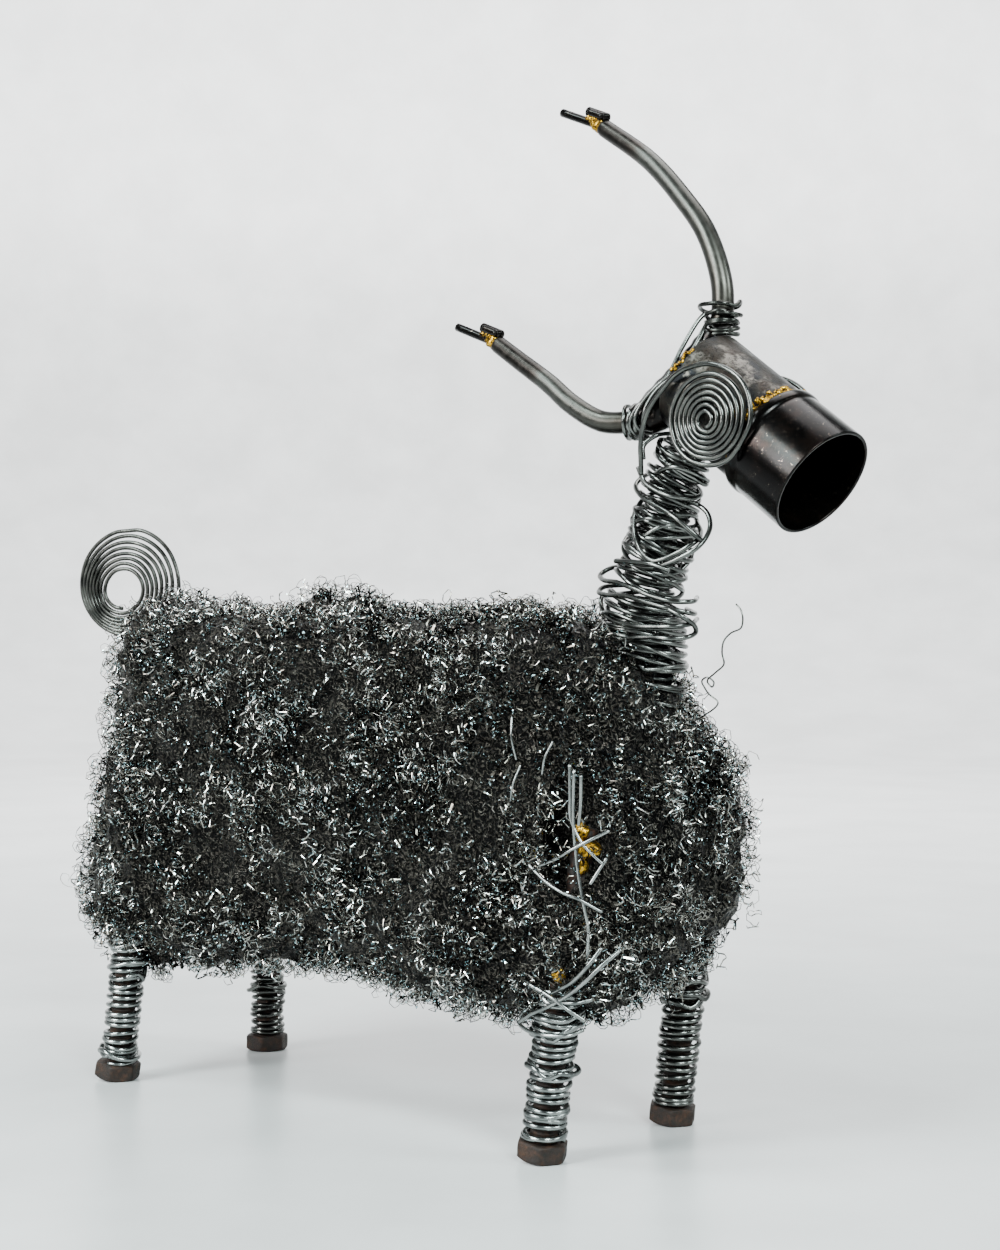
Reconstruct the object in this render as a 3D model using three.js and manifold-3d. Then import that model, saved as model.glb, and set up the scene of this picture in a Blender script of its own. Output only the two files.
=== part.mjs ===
// A ram put together from scrap: hexagon bolts for legs, bound with galvanised wire, a fleece of curled
// metal wool, a pipe for a skull with a wider collar as the muzzle, bent rods for horns and wound coils
// for ears and tail. Millimetres, +X towards the muzzle, +Y to the ram's left, +Z up.
// The floor point in the middle of the four feet is the middle of the drawing.
import * as THREE from "three";
import { mergeVertices } from "three/addons/utils/BufferGeometryUtils.js";
import Module from "manifold-3d";

const wasm = await Module();
wasm.setup();

// Clearance between pieces that touch, the wire that binds everything, and the bolt heads
const GAP = 0.3;
const WIRE = 1.25;
const HOOF_FLATS = 13;

// Fleece: a bale of metal wool
const FLEECE_LENGTH = 227;
const FLEECE_WIDTH = 88;
const FLEECE_HEIGHT = 117;
const FLEECE_FORWARD = 3.5;

// Stance and legs: M8 hexagon bolts, head down, set in from the ends and sides of the fleece
const STANCE = FLEECE_LENGTH - 4 * HOOF_FLATS;
const FRONT_TRACK = FLEECE_WIDTH - 27;
const REAR_TRACK = FLEECE_WIDTH - 21;
const HOOF_THICK = 5.3;
const HOOF_CHAMFER = 0.7;
const SHANK = 8;
const FILED_FLAT = 0.4;
const LEG_LENGTH = 50;
const LEG_IN_WOOL = 14;
const BINDING_WALL = 1.4;
const BINDING_PITCH = 4.5;
const BINDING_GROOVE = 0.55;
const LEG_SIDES = 8;
const FRONT_BINDING_TAPER = 0;
const REAR_BINDING_TAPER = 0.7;
const LEGS = [
  { name: "front_right", end: 1, side: -1, forward: 9.6, outward: 1.9 },
  { name: "front_left", end: 1, side: 1, forward: 7.1, outward: -0.7 },
  { name: "rear_right", end: -1, side: -1, forward: 8, outward: 0 },
  { name: "rear_left", end: -1, side: 1, forward: 0, outward: 0 },
];

// The fleece is a squared egg with lumps and hollows where the wool is bunched. Each bunch is placed in
// shares of the half length, half width and half height; its reach and rise are shares of the height.
const FLEECE_BOTTOM = LEG_LENGTH - LEG_IN_WOOL;
const FLEECE_TOP = FLEECE_BOTTOM + FLEECE_HEIGHT;
const FLEECE_PLAN_SQUARENESS = 2.9;
const FLEECE_SIDE_SQUARENESS = 4.7;
const FLEECE_DETAIL = 7;
const LOCK_SPACING = 21;
const LOCK_HEIGHT = 1.4;
const BUNCHES = [
  { at: [-0.82, -0.14, 0.98], reach: 0.17, rise: 0.09 },
  { at: [-0.19, 0, 0.98], reach: 0.12, rise: 0.05 },
  { at: [0.09, 0, 0.98], reach: 0.19, rise: -0.07 },
  { at: [-0.89, -0.82, -0.38], reach: 0.26, rise: 0.08 },
  { at: [-0.84, -0.86, -0.83], reach: 0.21, rise: 0.08 },
  { at: [-0.91, 0.45, 0.61], reach: 0.22, rise: 0.07 },
  { at: [0.96, 0.68, -0.18], reach: 0.24, rise: 0.05 },
  { at: [0.89, 0.77, -0.66], reach: 0.22, rise: -0.03 },
  { at: [0.89, 0.55, 0.74], reach: 0.24, rise: -0.09 },
  { at: [0.9, -0.77, -0.15], reach: 0.26, rise: 0.08 },
  { at: [0.83, -0.86, -0.73], reach: 0.22, rise: 0.06 },
  { at: [0.71, -0.86, -0.86], reach: 0.24, rise: 0.02 },
  { at: [-0.1, -0.95, -0.86], reach: 0.29, rise: -0.09 },
  { at: [-0.3, 0.95, 0.03], reach: 0.29, rise: 0.03 },
  { at: [0.32, 0.95, -0.42], reach: 0.26, rise: 0.03 },
];

// Three points that the other pieces are placed from
const WITHERS = [FLEECE_FORWARD + FLEECE_LENGTH / 2, 0, FLEECE_TOP];
const RUMP = [FLEECE_FORWARD - FLEECE_LENGTH / 2, 0, FLEECE_TOP];
const SHOULDER = [WITHERS[0], -FLEECE_WIDTH / 2, FLEECE_BOTTOM];

// Gap in the wool over the right front leg, and the post that shows inside it
const OPENING_AT = [-10, 4, 48];
const OPENING_BEARING = -50;
const OPENING_WIDTH = 17;
const OPENING_HEIGHT = 50;
const OPENING_DEPTH = 15;
const POST = 7;
const POST_TOP = [-13.4, 13.7, 56];
const UPPER_BEADS = [
  { at: [-12.7, 9.4, 54.4], size: 5 },
  { at: [-9.8, 9.8, 50.4], size: 5.6 },
];
const LOWER_BEAD = { at: [-17.8, 6.8, 17], size: 4.6 };

// Neck: wire wound in a thick uneven column
const NECK_PATH = [
  [-17.5, 0, -25],
  [-17.5, 0, -7],
  [-15.5, 0, 6],
  [-11.4, 0, 16.5],
  [-8.6, 0, 27],
  [-5.5, 0, 36],
  [-1, 0, 44],
];
const NECK_BASE_DIAMETER = 25.5;
const NECK_TOP_DIAMETER = 18;
const NECK_PITCH = 4.4;
const NECK_GROOVE = 0.9;
const NECK_SIDES = 12;

// Head: a pipe with a wider collar on its front end, dipping forwards
const SKULL_REAR = [1.5, 0.8, 61];
const HEAD_DIP = 36.7;
const HEAD_TURN = -2.5;
const SKULL_DIAMETER = 30;
const SKULL_LENGTH = 21.5;
const SKULL_ROUND = 1.2;
const MUZZLE_DIAMETER = 32;
const MUZZLE_WALL = 1.1;
const MUZZLE_LENGTH = 29;
const MUZZLE_BEAD_LENGTH = 5.5;
const MUZZLE_BEAD_PROUD = 0.4;
const MUZZLE_FLOOR = 2;
const BRAZE = 1.6;
const HEAD_SIDES = 24;

// Yoke: the dark bar across the back of the skull that carries both horns
const YOKE_PATH = [
  [5.2, 3, 73.6],
  [1.6, 1.2, 68.6],
  [-2.4, -0.4, 63.8],
  [-6.6, -2, 58.2],
  [-10, -3.2, 53.2],
  [-13.6, -5.2, 50.4],
];
const YOKE_DIAMETERS = [8.4, 8, 8, 9.4, 12, 9.6];

// Horns: bent rods, darkened by heat near the tip, with two pins brazed into the end
const LEFT_HORN_PATH = [
  [6.5, 4.4, 76],
  [6.2, 4.8, 87.7],
  [0.5, 5.6, 102.6],
  [-8.4, 6.2, 114.2],
  [-20, 6.9, 126.1],
  [-37.5, 7.8, 138.6],
];
const RIGHT_HORN_PATH = [
  [-15.7, -6, 50.2],
  [-27, -6.4, 51.2],
  [-37.8, -6.4, 56.8],
  [-46.3, -6.3, 63.4],
  [-57.6, -6.2, 71],
  [-66.1, -6, 76.7],
];
const HORN_BASE_DIAMETER = 6.4;
const HORN_TIP_DIAMETER = 5.2;
const HORN_SIDES = 10;
const HORN_RINGS = 12;
const PIN = 2.6;
const LONG_PIN = 16;
const SHORT_PIN = 9;
const PIN_BEND = 12;
const TIP_BRAZE_LENGTH = 5;

// Ears and tail: wire wound flat in a spiral
const EAR_AT = { right: [17.4, -17.9, 48.6], left: [14.4, 18.2, 48.6] };
const EAR_INNER_RADIUS = 3.5;
const EAR_OUTER_RADIUS = 14.1;
const EAR_TURNS = 6.55;
const EAR_STEPS = 10;
const EAR_LEAD = [
  [-9.8, -1, 13],
  [-16.8, -1.8, 8.2],
  [-22.4, -2.8, 2.4],
  [-25.4, -4.2, -4.4],
  [-26.6, -6, -12],
];
const TAIL_AT = [-15, 0, 7];
const TAIL_BEARING = 21.5;
const TAIL_INNER_RADIUS = 7.3;
const TAIL_TIGHT_RADIUS = 14.8;
const TAIL_OUTER_RADIUS = 20.8;
const TAIL_TURNS = 5.75;
const TAIL_LOOSE_SHARE = 0.12;
const TAIL_STEPS = 11;
const TAIL_LEAD = [
  [4.6, 7.6, -3],
  [3, 7, -12],
];

// Wires that bind the horn roots, the wool over the shoulder, and one loose curl at the chest
const HORN_TIE = [
  [2.4, -1, 78.2],
  [0.9, -5, 70.6],
  [-2.4, -7, 62.4],
  [-6.8, -8.5, 57],
  [-11.4, -10, 52.4],
];
const TIE_TURNS_LEFT = 4;
const TIE_TURNS_RIGHT = 3;
const SHOULDER_WIRES = {
  shoulder_wire_long: [
    [-13.2, 6.1, 69.8],
    [-12, 4.7, 62.3],
    [-10.6, 3.8, 51],
    [-9.2, 3.6, 40],
    [-8.2, 5.4, 29],
  ],
  shoulder_wire_cross: [
    [-19.1, 0.1, 46.7],
    [-11.3, 1.7, 50.9],
    [-5.1, 6.5, 55.1],
  ],
  shoulder_wire_lower: [
    [-22.4, -0.6, 45.4],
    [-18.3, -0.4, 41.7],
    [-12.8, 0.2, 38.8],
    [-7.2, 2.2, 35.4],
  ],
  shoulder_wire_leg: [
    [-30.6, 5.4, 4.4],
    [-21.6, 4.4, 8.4],
    [-10.8, 5.6, 15.3],
    [-2.6, 10, 24],
  ],
};
const CURL_PATH = [
  [-8, 2, -38],
  [4.1, 1, -24.2],
  [7.4, 0, -22],
  [4, 0, -19.6],
  [9.7, 0, -16.5],
  [9.4, 0, -10.5],
  [15.9, 0, -6.4],
  [14.3, 0, -0.7],
];
const CURL_WIRE = 0.5;

// Finishes
const galvanised = new THREE.MeshStandardMaterial({ color: 0x8d9396, roughness: 0.35, metalness: 1 });
const rustedBolt = new THREE.MeshStandardMaterial({ color: 0x3a2c24, roughness: 0.75, metalness: 0.7 });
const metalWool = new THREE.MeshStandardMaterial({ color: 0x3c3a3a, roughness: 0.5, metalness: 0.9 });
const heatedPipe = new THREE.MeshStandardMaterial({ color: 0x8f857a, roughness: 0.5, metalness: 0.8 });
const blackenedSteel = new THREE.MeshStandardMaterial({ color: 0x2a2624, roughness: 0.4, metalness: 0.8 });
const hornSteel = new THREE.MeshStandardMaterial({ color: 0x6f716f, roughness: 0.4, metalness: 0.9 });
const brazingBrass = new THREE.MeshStandardMaterial({ color: 0xb08a2e, roughness: 0.25, metalness: 1 });

const group = new THREE.Group();

function vector(point) {
  return new THREE.Vector3(point[0], point[1], point[2]);
}

// Points given from one of the three main points
function placed(main, points) {
  return points.map((point) => vector(point).add(vector(main)));
}

function curveThrough(points) {
  return new THREE.CatmullRomCurve3(points, false, "centripetal");
}

// A closed geometry as a solid that can be joined and cut
function solidOf(geometry) {
  const bare = geometry.clone();
  bare.deleteAttribute("normal");
  bare.deleteAttribute("uv");
  const merged = mergeVertices(bare, 1e-4);
  return new wasm.Manifold(
    new wasm.Mesh({
      numProp: 3,
      vertProperties: merged.attributes.position.array,
      triVerts: new Uint32Array(merged.index.array),
    }),
  );
}

function addPiece(name, solid, material) {
  const { vertProperties, triVerts } = solid.getMesh();
  const geometry = new THREE.BufferGeometry();
  geometry.setAttribute("position", new THREE.BufferAttribute(vertProperties, 3));
  geometry.setIndex(new THREE.BufferAttribute(triVerts, 1));
  geometry.computeVertexNormals();
  const mesh = new THREE.Mesh(geometry, material);
  mesh.name = name;
  group.add(mesh);
}

// A body turned from a profile of [radius, height] pairs, standing on +Z
function turned(profile, sides) {
  const points = profile.map(([radius, height]) => new THREE.Vector2(radius, height));
  return new THREE.LatheGeometry(points, sides).rotateX(Math.PI / 2);
}

// A round rod carried along a curve, its radius given for each of its rings
function rodAlong(curve, radii, sides) {
  const rings = radii.length - 1;
  const profile = radii.map((radius, ring) => [radius, ring]);
  const rod = turned([[0, 0], ...profile, [0, rings]], sides);
  const frames = curve.computeFrenetFrames(rings, false);
  const centres = frames.tangents.map((_, ring) => curve.getPointAt(ring / rings));
  const place = rod.attributes.position;
  const corner = new THREE.Vector3();
  for (let i = 0; i < place.count; i++) {
    const ring = Math.round(place.getZ(i));
    corner.copy(centres[ring]);
    corner.addScaledVector(frames.normals[ring], place.getX(i));
    corner.addScaledVector(frames.binormals[ring], place.getY(i));
    place.setXYZ(i, corner.x, corner.y, corner.z);
  }
  return solidOf(rod);
}

// Wire of one thickness along a curve, with an even number of sides
function wireAlong(curve, thickness, steps, sides) {
  const section = new THREE.Shape().absarc(0, 0, thickness / 2, 0, 2 * Math.PI);
  curve.arcLengthDivisions = 4 * steps;
  const wire = new THREE.ExtrudeGeometry(section, {
    steps,
    curveSegments: sides / 2,
    bevelEnabled: false,
    extrudePath: curve,
  });
  return solidOf(wire);
}

// Turns a solid that stands on +Z so that it stands at a point along an axis
function standAt(solid, point, axis) {
  const turn = new THREE.Quaternion().setFromUnitVectors(new THREE.Vector3(0, 0, 1), axis);
  const matrix = new THREE.Matrix4().compose(point, turn, new THREE.Vector3(1, 1, 1));
  return solid.transform(matrix.elements);
}

function evenly(count, from, to) {
  return Array.from({ length: count + 1 }, (_, i) => from + ((to - from) * i) / count);
}

// A wound column: one ridge for each turn of wire, from one radius to the other
function woundRadii(turns, from, to, groove) {
  return evenly(2 * turns, from, to).map((radius, i) => (i % 2 ? radius : radius - groove));
}

// Legs
const degrees = Math.PI / 180;
const hoofRadius = HOOF_FLATS / 2 / Math.cos(Math.PI / 6);
const bindingRadius = SHANK / 2 + GAP + BINDING_WALL;
const floor = solidOf(new THREE.BoxGeometry(2 * STANCE, 2 * STANCE, STANCE).translate(0, 0, -STANCE / 2));

function legOf(spec) {
  const track = spec.end > 0 ? FRONT_TRACK : REAR_TRACK;
  const lean = new THREE.Vector3(
    Math.tan(spec.forward * degrees),
    spec.side * Math.tan(spec.outward * degrees),
    1,
  );
  const axis = lean.normalize();
  const dip = (HOOF_FLATS / 2) * Math.sin(Math.acos(axis.z));
  const foot = new THREE.Vector3((spec.end * STANCE) / 2, (spec.side * track) / 2, 0);
  foot.z = dip > FILED_FLAT ? dip - FILED_FLAT : 0;
  return { ...spec, axis, foot };
}

function boltOf(leg) {
  const flatToFront = new THREE.CylinderGeometry(hoofRadius, hoofRadius, HOOF_THICK, 6, 1);
  flatToFront.rotateX(Math.PI / 2).translate(0, 0, HOOF_THICK / 2);
  const chamfered = turned(
    [
      [0, 0],
      [HOOF_FLATS / 2, 0],
      [hoofRadius, HOOF_CHAMFER],
      [hoofRadius, HOOF_THICK],
      [0, HOOF_THICK],
    ],
    24,
  );
  const shank = turned(
    [
      [0, HOOF_THICK / 2],
      [SHANK / 2, HOOF_THICK / 2],
      [SHANK / 2, LEG_LENGTH],
      [0, LEG_LENGTH],
    ],
    12,
  );
  const hoof = solidOf(flatToFront).intersect(solidOf(chamfered));
  return standAt(hoof.add(solidOf(shank)), leg.foot, leg.axis).subtract(floor);
}

function bindingOf(leg) {
  const turns = Math.round((LEG_LENGTH - HOOF_THICK) / BINDING_PITCH);
  const taper = leg.end > 0 ? FRONT_BINDING_TAPER : REAR_BINDING_TAPER;
  const radii = woundRadii(turns, bindingRadius - taper, bindingRadius, BINDING_GROOVE);
  const heights = evenly(radii.length - 1, HOOF_THICK + GAP, LEG_LENGTH);
  const outer = radii.map((radius, i) => [radius, heights[i]]);
  const bore = SHANK / 2 + GAP;
  const sleeve = turned(
    [[bore, heights[0]], ...outer, [bore, LEG_LENGTH], [bore, heights[0]]],
    LEG_SIDES,
  );
  return standAt(solidOf(sleeve), leg.foot, leg.axis);
}

// The room a leg needs in the wool
function legRoom(leg) {
  const radius = bindingRadius + GAP;
  const room = turned(
    [
      [0, 0],
      [radius, 0],
      [radius, LEG_LENGTH + GAP],
      [0, LEG_LENGTH + GAP],
    ],
    LEG_SIDES,
  );
  return standAt(solidOf(room), leg.foot, leg.axis);
}

const legs = LEGS.map(legOf);
for (const leg of legs) {
  addPiece("hoof_bolt_" + leg.name, boltOf(leg), rustedBolt);
  addPiece("leg_binding_" + leg.name, bindingOf(leg), galvanised);
}

// Post in the shoulder opening: it stands on the end of the right front leg
const rightLeg = legs[0];
const legEnd = rightLeg.foot.clone().addScaledVector(rightLeg.axis, LEG_LENGTH);
const postFoot = legEnd.clone().addScaledVector(rightLeg.axis, 2 * GAP);
const [postTop] = placed(SHOULDER, [POST_TOP]);
const postCurve = new THREE.LineCurve3(postFoot, postTop);

function postOf(growth) {
  const radius = POST / 2 + growth;
  return rodAlong(postCurve, [radius, radius], 10);
}

addPiece("shoulder_post", postOf(0), rustedBolt);

// Brass that ran down the outer side of the post
function beadOf({ at, size }, growth) {
  const [centre] = placed(SHOULDER, [at]);
  const bead = new THREE.IcosahedronGeometry(size / 2 + growth, 1);
  return solidOf(bead.translate(centre.x, centre.y, centre.z));
}

const upperBeads = beadOf(UPPER_BEADS[0], 0).add(beadOf(UPPER_BEADS[1], 0));
addPiece("shoulder_braze_upper", upperBeads.subtract(postOf(GAP)), brazingBrass);
addPiece("shoulder_braze_lower", beadOf(LOWER_BEAD, 0).subtract(postOf(GAP)), brazingBrass);

// Head axis and its pieces
const headAxis = new THREE.Vector3(
  Math.cos(HEAD_DIP * degrees) * Math.cos(HEAD_TURN * degrees),
  Math.cos(HEAD_DIP * degrees) * Math.sin(HEAD_TURN * degrees),
  -Math.sin(HEAD_DIP * degrees),
);
const [skullRear] = placed(WITHERS, [SKULL_REAR]);

function skullOf(growth) {
  const radius = SKULL_DIAMETER / 2 + growth;
  const skull = turned(
    [
      [0, -growth],
      [radius - SKULL_ROUND, -growth],
      [radius, SKULL_ROUND - growth],
      [radius, SKULL_LENGTH + growth],
      [0, SKULL_LENGTH + growth],
    ],
    HEAD_SIDES,
  );
  return standAt(solidOf(skull), skullRear, headAxis);
}

addPiece("skull_pipe", skullOf(0), heatedPipe);

// The collar is a cup: a rounded bead and a floor at the back, a thin straight wall to the rim
const muzzleRadius = MUZZLE_DIAMETER / 2;
const beadRadius = muzzleRadius + MUZZLE_BEAD_PROUD;
const muzzleBack = SKULL_LENGTH + GAP;
const muzzleRim = SKULL_LENGTH + MUZZLE_LENGTH;
const beadFront = muzzleBack + MUZZLE_BEAD_LENGTH;
const muzzleBore = muzzleRadius - MUZZLE_WALL;
const muzzle = turned(
  [
    [0, muzzleBack],
    [SKULL_DIAMETER / 2 - GAP, muzzleBack],
    [beadRadius - GAP, muzzleBack + MUZZLE_BEAD_LENGTH * 0.3],
    [beadRadius, muzzleBack + MUZZLE_BEAD_LENGTH * 0.6],
    [muzzleRadius, beadFront],
    [muzzleRadius, muzzleRim],
    [muzzleBore, muzzleRim],
    [muzzleBore, muzzleBack + MUZZLE_FLOOR],
    [0, muzzleBack + MUZZLE_FLOOR],
  ],
  HEAD_SIDES,
);
addPiece("muzzle_collar", standAt(solidOf(muzzle), skullRear, headAxis), blackenedSteel);

// Fillet of brass round the joint of skull and collar
const brazeInner = SKULL_DIAMETER / 2 + GAP;
const brazeRing = turned(
  [
    [brazeInner, muzzleBack - BRAZE],
    [brazeInner + BRAZE * 0.6, muzzleBack - BRAZE * 0.5],
    [brazeInner + BRAZE * 0.6, muzzleBack],
    [brazeInner, muzzleBack - GAP],
    [brazeInner, muzzleBack - BRAZE],
  ],
  HEAD_SIDES,
);
addPiece("muzzle_braze", standAt(solidOf(brazeRing), skullRear, headAxis), brazingBrass);

// Yoke and horns
function yokeOf(growth) {
  const curve = curveThrough(placed(WITHERS, YOKE_PATH));
  const radii = YOKE_DIAMETERS.map((diameter) => diameter / 2 + growth);
  return rodAlong(curve, radii, 12);
}

addPiece("horn_yoke", yokeOf(0).subtract(skullOf(GAP)), blackenedSteel);

function hornOf(path) {
  const curve = curveThrough(placed(WITHERS, path));
  const radii = evenly(HORN_RINGS, HORN_BASE_DIAMETER / 2, HORN_TIP_DIAMETER / 2);
  const grown = (growth) => rodAlong(curve, radii.map((radius) => radius + growth), HORN_SIDES);
  return { curve, grown };
}

// The end of a horn: brass round two pins, the lower one long and the upper one short
function tipOf(horn) {
  const end = horn.curve.getPointAt(1);
  const run = horn.curve.getTangentAt(1);
  const side = new THREE.Vector3(0, 0, 1).cross(run).normalize();
  const axis = run.applyAxisAngle(side, PIN_BEND * degrees);
  const up = axis.clone().cross(side).normalize();
  const lowFoot = end.clone().addScaledVector(axis, PIN / 2);
  const highFoot = lowFoot.clone().addScaledVector(up, PIN + GAP);
  const pin = (length, growth) =>
    turned(
      [
        [0, -growth],
        [PIN / 2 + growth, -growth],
        [PIN / 2 + growth, length + growth],
        [0, length + growth],
      ],
      8,
    );
  const longPin = (growth) => standAt(solidOf(pin(LONG_PIN, growth)), lowFoot, axis);
  const shortPin = (growth) => standAt(solidOf(pin(SHORT_PIN, growth)), highFoot, axis);
  const braze = turned(
    [
      [0, GAP],
      [HORN_TIP_DIAMETER / 2, GAP],
      [HORN_TIP_DIAMETER / 2 - GAP, TIP_BRAZE_LENGTH * 0.6],
      [PIN, TIP_BRAZE_LENGTH],
      [0, TIP_BRAZE_LENGTH],
    ],
    10,
  );
  const filled = standAt(solidOf(braze), end.clone().addScaledVector(up, GAP), axis);
  return {
    longPin: longPin(0),
    shortPin: shortPin(0),
    braze: filled.subtract(longPin(GAP)).subtract(shortPin(GAP)).subtract(horn.grown(GAP)),
  };
}

const horns = { left: hornOf(LEFT_HORN_PATH), right: hornOf(RIGHT_HORN_PATH) };
for (const [side, horn] of Object.entries(horns)) {
  addPiece("horn_" + side, horn.grown(0).subtract(yokeOf(GAP)), hornSteel);
  const tip = tipOf(horn);
  addPiece("horn_long_pin_" + side, tip.longPin, blackenedSteel);
  addPiece("horn_short_pin_" + side, tip.shortPin, blackenedSteel);
  addPiece("horn_tip_braze_" + side, tip.braze, brazingBrass);
}

// Wire wound round a horn's root: a ridged sleeve over the first share of its length
function rootBinding(horn, turns, from) {
  const length = horn.curve.getLength();
  const share = (turns * WIRE * 1.6) / length;
  const points = evenly(4, from, from + share).map((t) => horn.curve.getPointAt(t));
  const root = curveThrough(points);
  const inner = HORN_BASE_DIAMETER / 2 + GAP;
  const outer = woundRadii(turns, inner + WIRE, inner + WIRE, WIRE * 0.4);
  return rodAlong(root, outer, 8).subtract(horn.grown(GAP));
}

addPiece(
  "horn_binding_left",
  rootBinding(horns.left, TIE_TURNS_LEFT, 0.03).subtract(skullOf(GAP)).subtract(yokeOf(GAP)),
  galvanised,
);
addPiece(
  "horn_binding_right",
  rootBinding(horns.right, TIE_TURNS_RIGHT, 0.03).subtract(yokeOf(GAP)),
  galvanised,
);
const tie = wireAlong(curveThrough(placed(WITHERS, HORN_TIE)), WIRE, 10, 4);
addPiece("horn_tie_wire", tie.subtract(yokeOf(GAP)), galvanised);

// Neck
const neckCurve = curveThrough(placed(WITHERS, NECK_PATH));
const neckTurns = Math.round(neckCurve.getLength() / NECK_PITCH);

function neckOf(growth) {
  const radii = woundRadii(neckTurns, NECK_BASE_DIAMETER / 2, NECK_TOP_DIAMETER / 2, NECK_GROOVE);
  return rodAlong(neckCurve, radii.map((radius) => radius + growth), NECK_SIDES);
}

const neck = neckOf(0).subtract(skullOf(GAP)).subtract(yokeOf(GAP));
addPiece("neck_winding", neck, galvanised);

// Flat spiral of wire in an upright plane, wound outwards from below its centre
function spiralPoints(centre, bearing, radiusAt, turns, steps, turnSign) {
  const along = new THREE.Vector3(Math.cos(bearing * degrees), Math.sin(bearing * degrees), 0);
  const up = new THREE.Vector3(0, 0, 1);
  return evenly(Math.round(turns * steps), 0, 1).map((share) => {
    const angle = -Math.PI / 2 + turnSign * share * turns * 2 * Math.PI;
    const radius = radiusAt(share);
    return centre
      .clone()
      .addScaledVector(along, radius * Math.cos(angle))
      .addScaledVector(up, radius * Math.sin(angle));
  });
}

// The lead of an ear is given from its centre: along, towards the neck, up
function earOf(side) {
  const [centre] = placed(WITHERS, [EAR_AT[side]]);
  const outward = Math.sign(centre.y);
  const radiusAt = (share) => THREE.MathUtils.lerp(EAR_INNER_RADIUS, EAR_OUTER_RADIUS, share);
  const wound = spiralPoints(centre, 0, radiusAt, EAR_TURNS, EAR_STEPS, 1);
  const lead = EAR_LEAD.map(([along, inward, up]) => {
    return centre.clone().add(new THREE.Vector3(along, outward * inward, up));
  });
  return wireAlong(curveThrough([...wound, ...lead]), WIRE, wound.length + lead.length + 4, 4);
}

addPiece("ear_right", earOf("right").subtract(neckOf(GAP)), galvanised);
addPiece("ear_left", earOf("left").subtract(neckOf(GAP)), galvanised);

// The tail is tight inside, and its last turn springs open
function tailRadius(share) {
  const tightShare = 1 - TAIL_LOOSE_SHARE;
  const tight = Math.min(share / tightShare, 1);
  const loose = Math.max(share - tightShare, 0) / TAIL_LOOSE_SHARE;
  const wound = THREE.MathUtils.lerp(TAIL_INNER_RADIUS, TAIL_TIGHT_RADIUS, tight);
  return wound + (TAIL_OUTER_RADIUS - TAIL_TIGHT_RADIUS) * loose;
}

const [tailCentre] = placed(RUMP, [TAIL_AT]);
const tailTurns = spiralPoints(tailCentre, TAIL_BEARING, tailRadius, TAIL_TURNS, TAIL_STEPS, -1);
const tailCurve = curveThrough([...tailTurns, ...placed(RUMP, TAIL_LEAD)]);
const tailSteps = tailTurns.length + TAIL_LEAD.length + 2;
addPiece("tail_coil", wireAlong(tailCurve, WIRE, tailSteps, 4), galvanised);

// Shoulder wires and the loose curl
const shoulderWires = Object.entries(SHOULDER_WIRES).map(([name, path]) => {
  const curve = curveThrough(placed(SHOULDER, path));
  return { name, curve };
});
for (const { name, curve } of shoulderWires) {
  addPiece(name, wireAlong(curve, WIRE, 8, 4), galvanised);
}
const curlCurve = curveThrough(placed(WITHERS, CURL_PATH));
const curl = wireAlong(curlCurve, CURL_WIRE, 20, 4);

// Fleece
const fleeceCentre = new THREE.Vector3(FLEECE_FORWARD, 0, (FLEECE_TOP + FLEECE_BOTTOM) / 2);
const fleeceHalf = new THREE.Vector3(
  FLEECE_LENGTH / 2,
  FLEECE_WIDTH / 2,
  FLEECE_HEIGHT / 2,
);

// How far the wool stands out at a point: bunches, and locks that repeat along and across
function woolRise(point) {
  let rise = 0;
  for (const bunch of BUNCHES) {
    const middle = vector(bunch.at).multiply(fleeceHalf).add(fleeceCentre);
    const distance = point.distanceTo(middle) / (bunch.reach * FLEECE_HEIGHT);
    rise += bunch.rise * FLEECE_HEIGHT * Math.exp(-distance * distance);
  }
  const wave = (2 * Math.PI) / LOCK_SPACING;
  const along = Math.sin(wave * point.x + 1.3 * Math.sin(wave * 0.6 * point.z));
  const across = Math.sin(wave * point.z + 1.1 * Math.sin(wave * 0.7 * point.x) + 0.4 * point.y);
  return rise + LOCK_HEIGHT * along * across;
}

function fleeceBale() {
  const bale = new THREE.IcosahedronGeometry(1, FLEECE_DETAIL);
  const place = bale.attributes.position;
  const point = new THREE.Vector3();
  for (let i = 0; i < place.count; i++) {
    point.fromBufferAttribute(place, i);
    const plan = Math.abs(point.x) ** FLEECE_PLAN_SQUARENESS + Math.abs(point.y) ** FLEECE_PLAN_SQUARENESS;
    const level = plan ** (FLEECE_SIDE_SQUARENESS / FLEECE_PLAN_SQUARENESS);
    const sum = level + Math.abs(point.z) ** FLEECE_SIDE_SQUARENESS;
    point.multiplyScalar(sum ** (-1 / FLEECE_SIDE_SQUARENESS));
    const outward = point.clone().normalize();
    point.multiply(fleeceHalf).add(fleeceCentre);
    point.addScaledVector(outward, woolRise(point));
    place.setXYZ(i, point.x, point.y, point.z);
  }
  return solidOf(bale);
}

function openingRoom() {
  const room = new THREE.SphereGeometry(1, 14, 10);
  room.scale(OPENING_DEPTH, OPENING_WIDTH / 2, OPENING_HEIGHT / 2);
  room.rotateZ(OPENING_BEARING * degrees);
  const [middle] = placed(SHOULDER, [OPENING_AT]);
  room.translate(middle.x, middle.y, middle.z);
  return solidOf(room);
}

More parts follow.
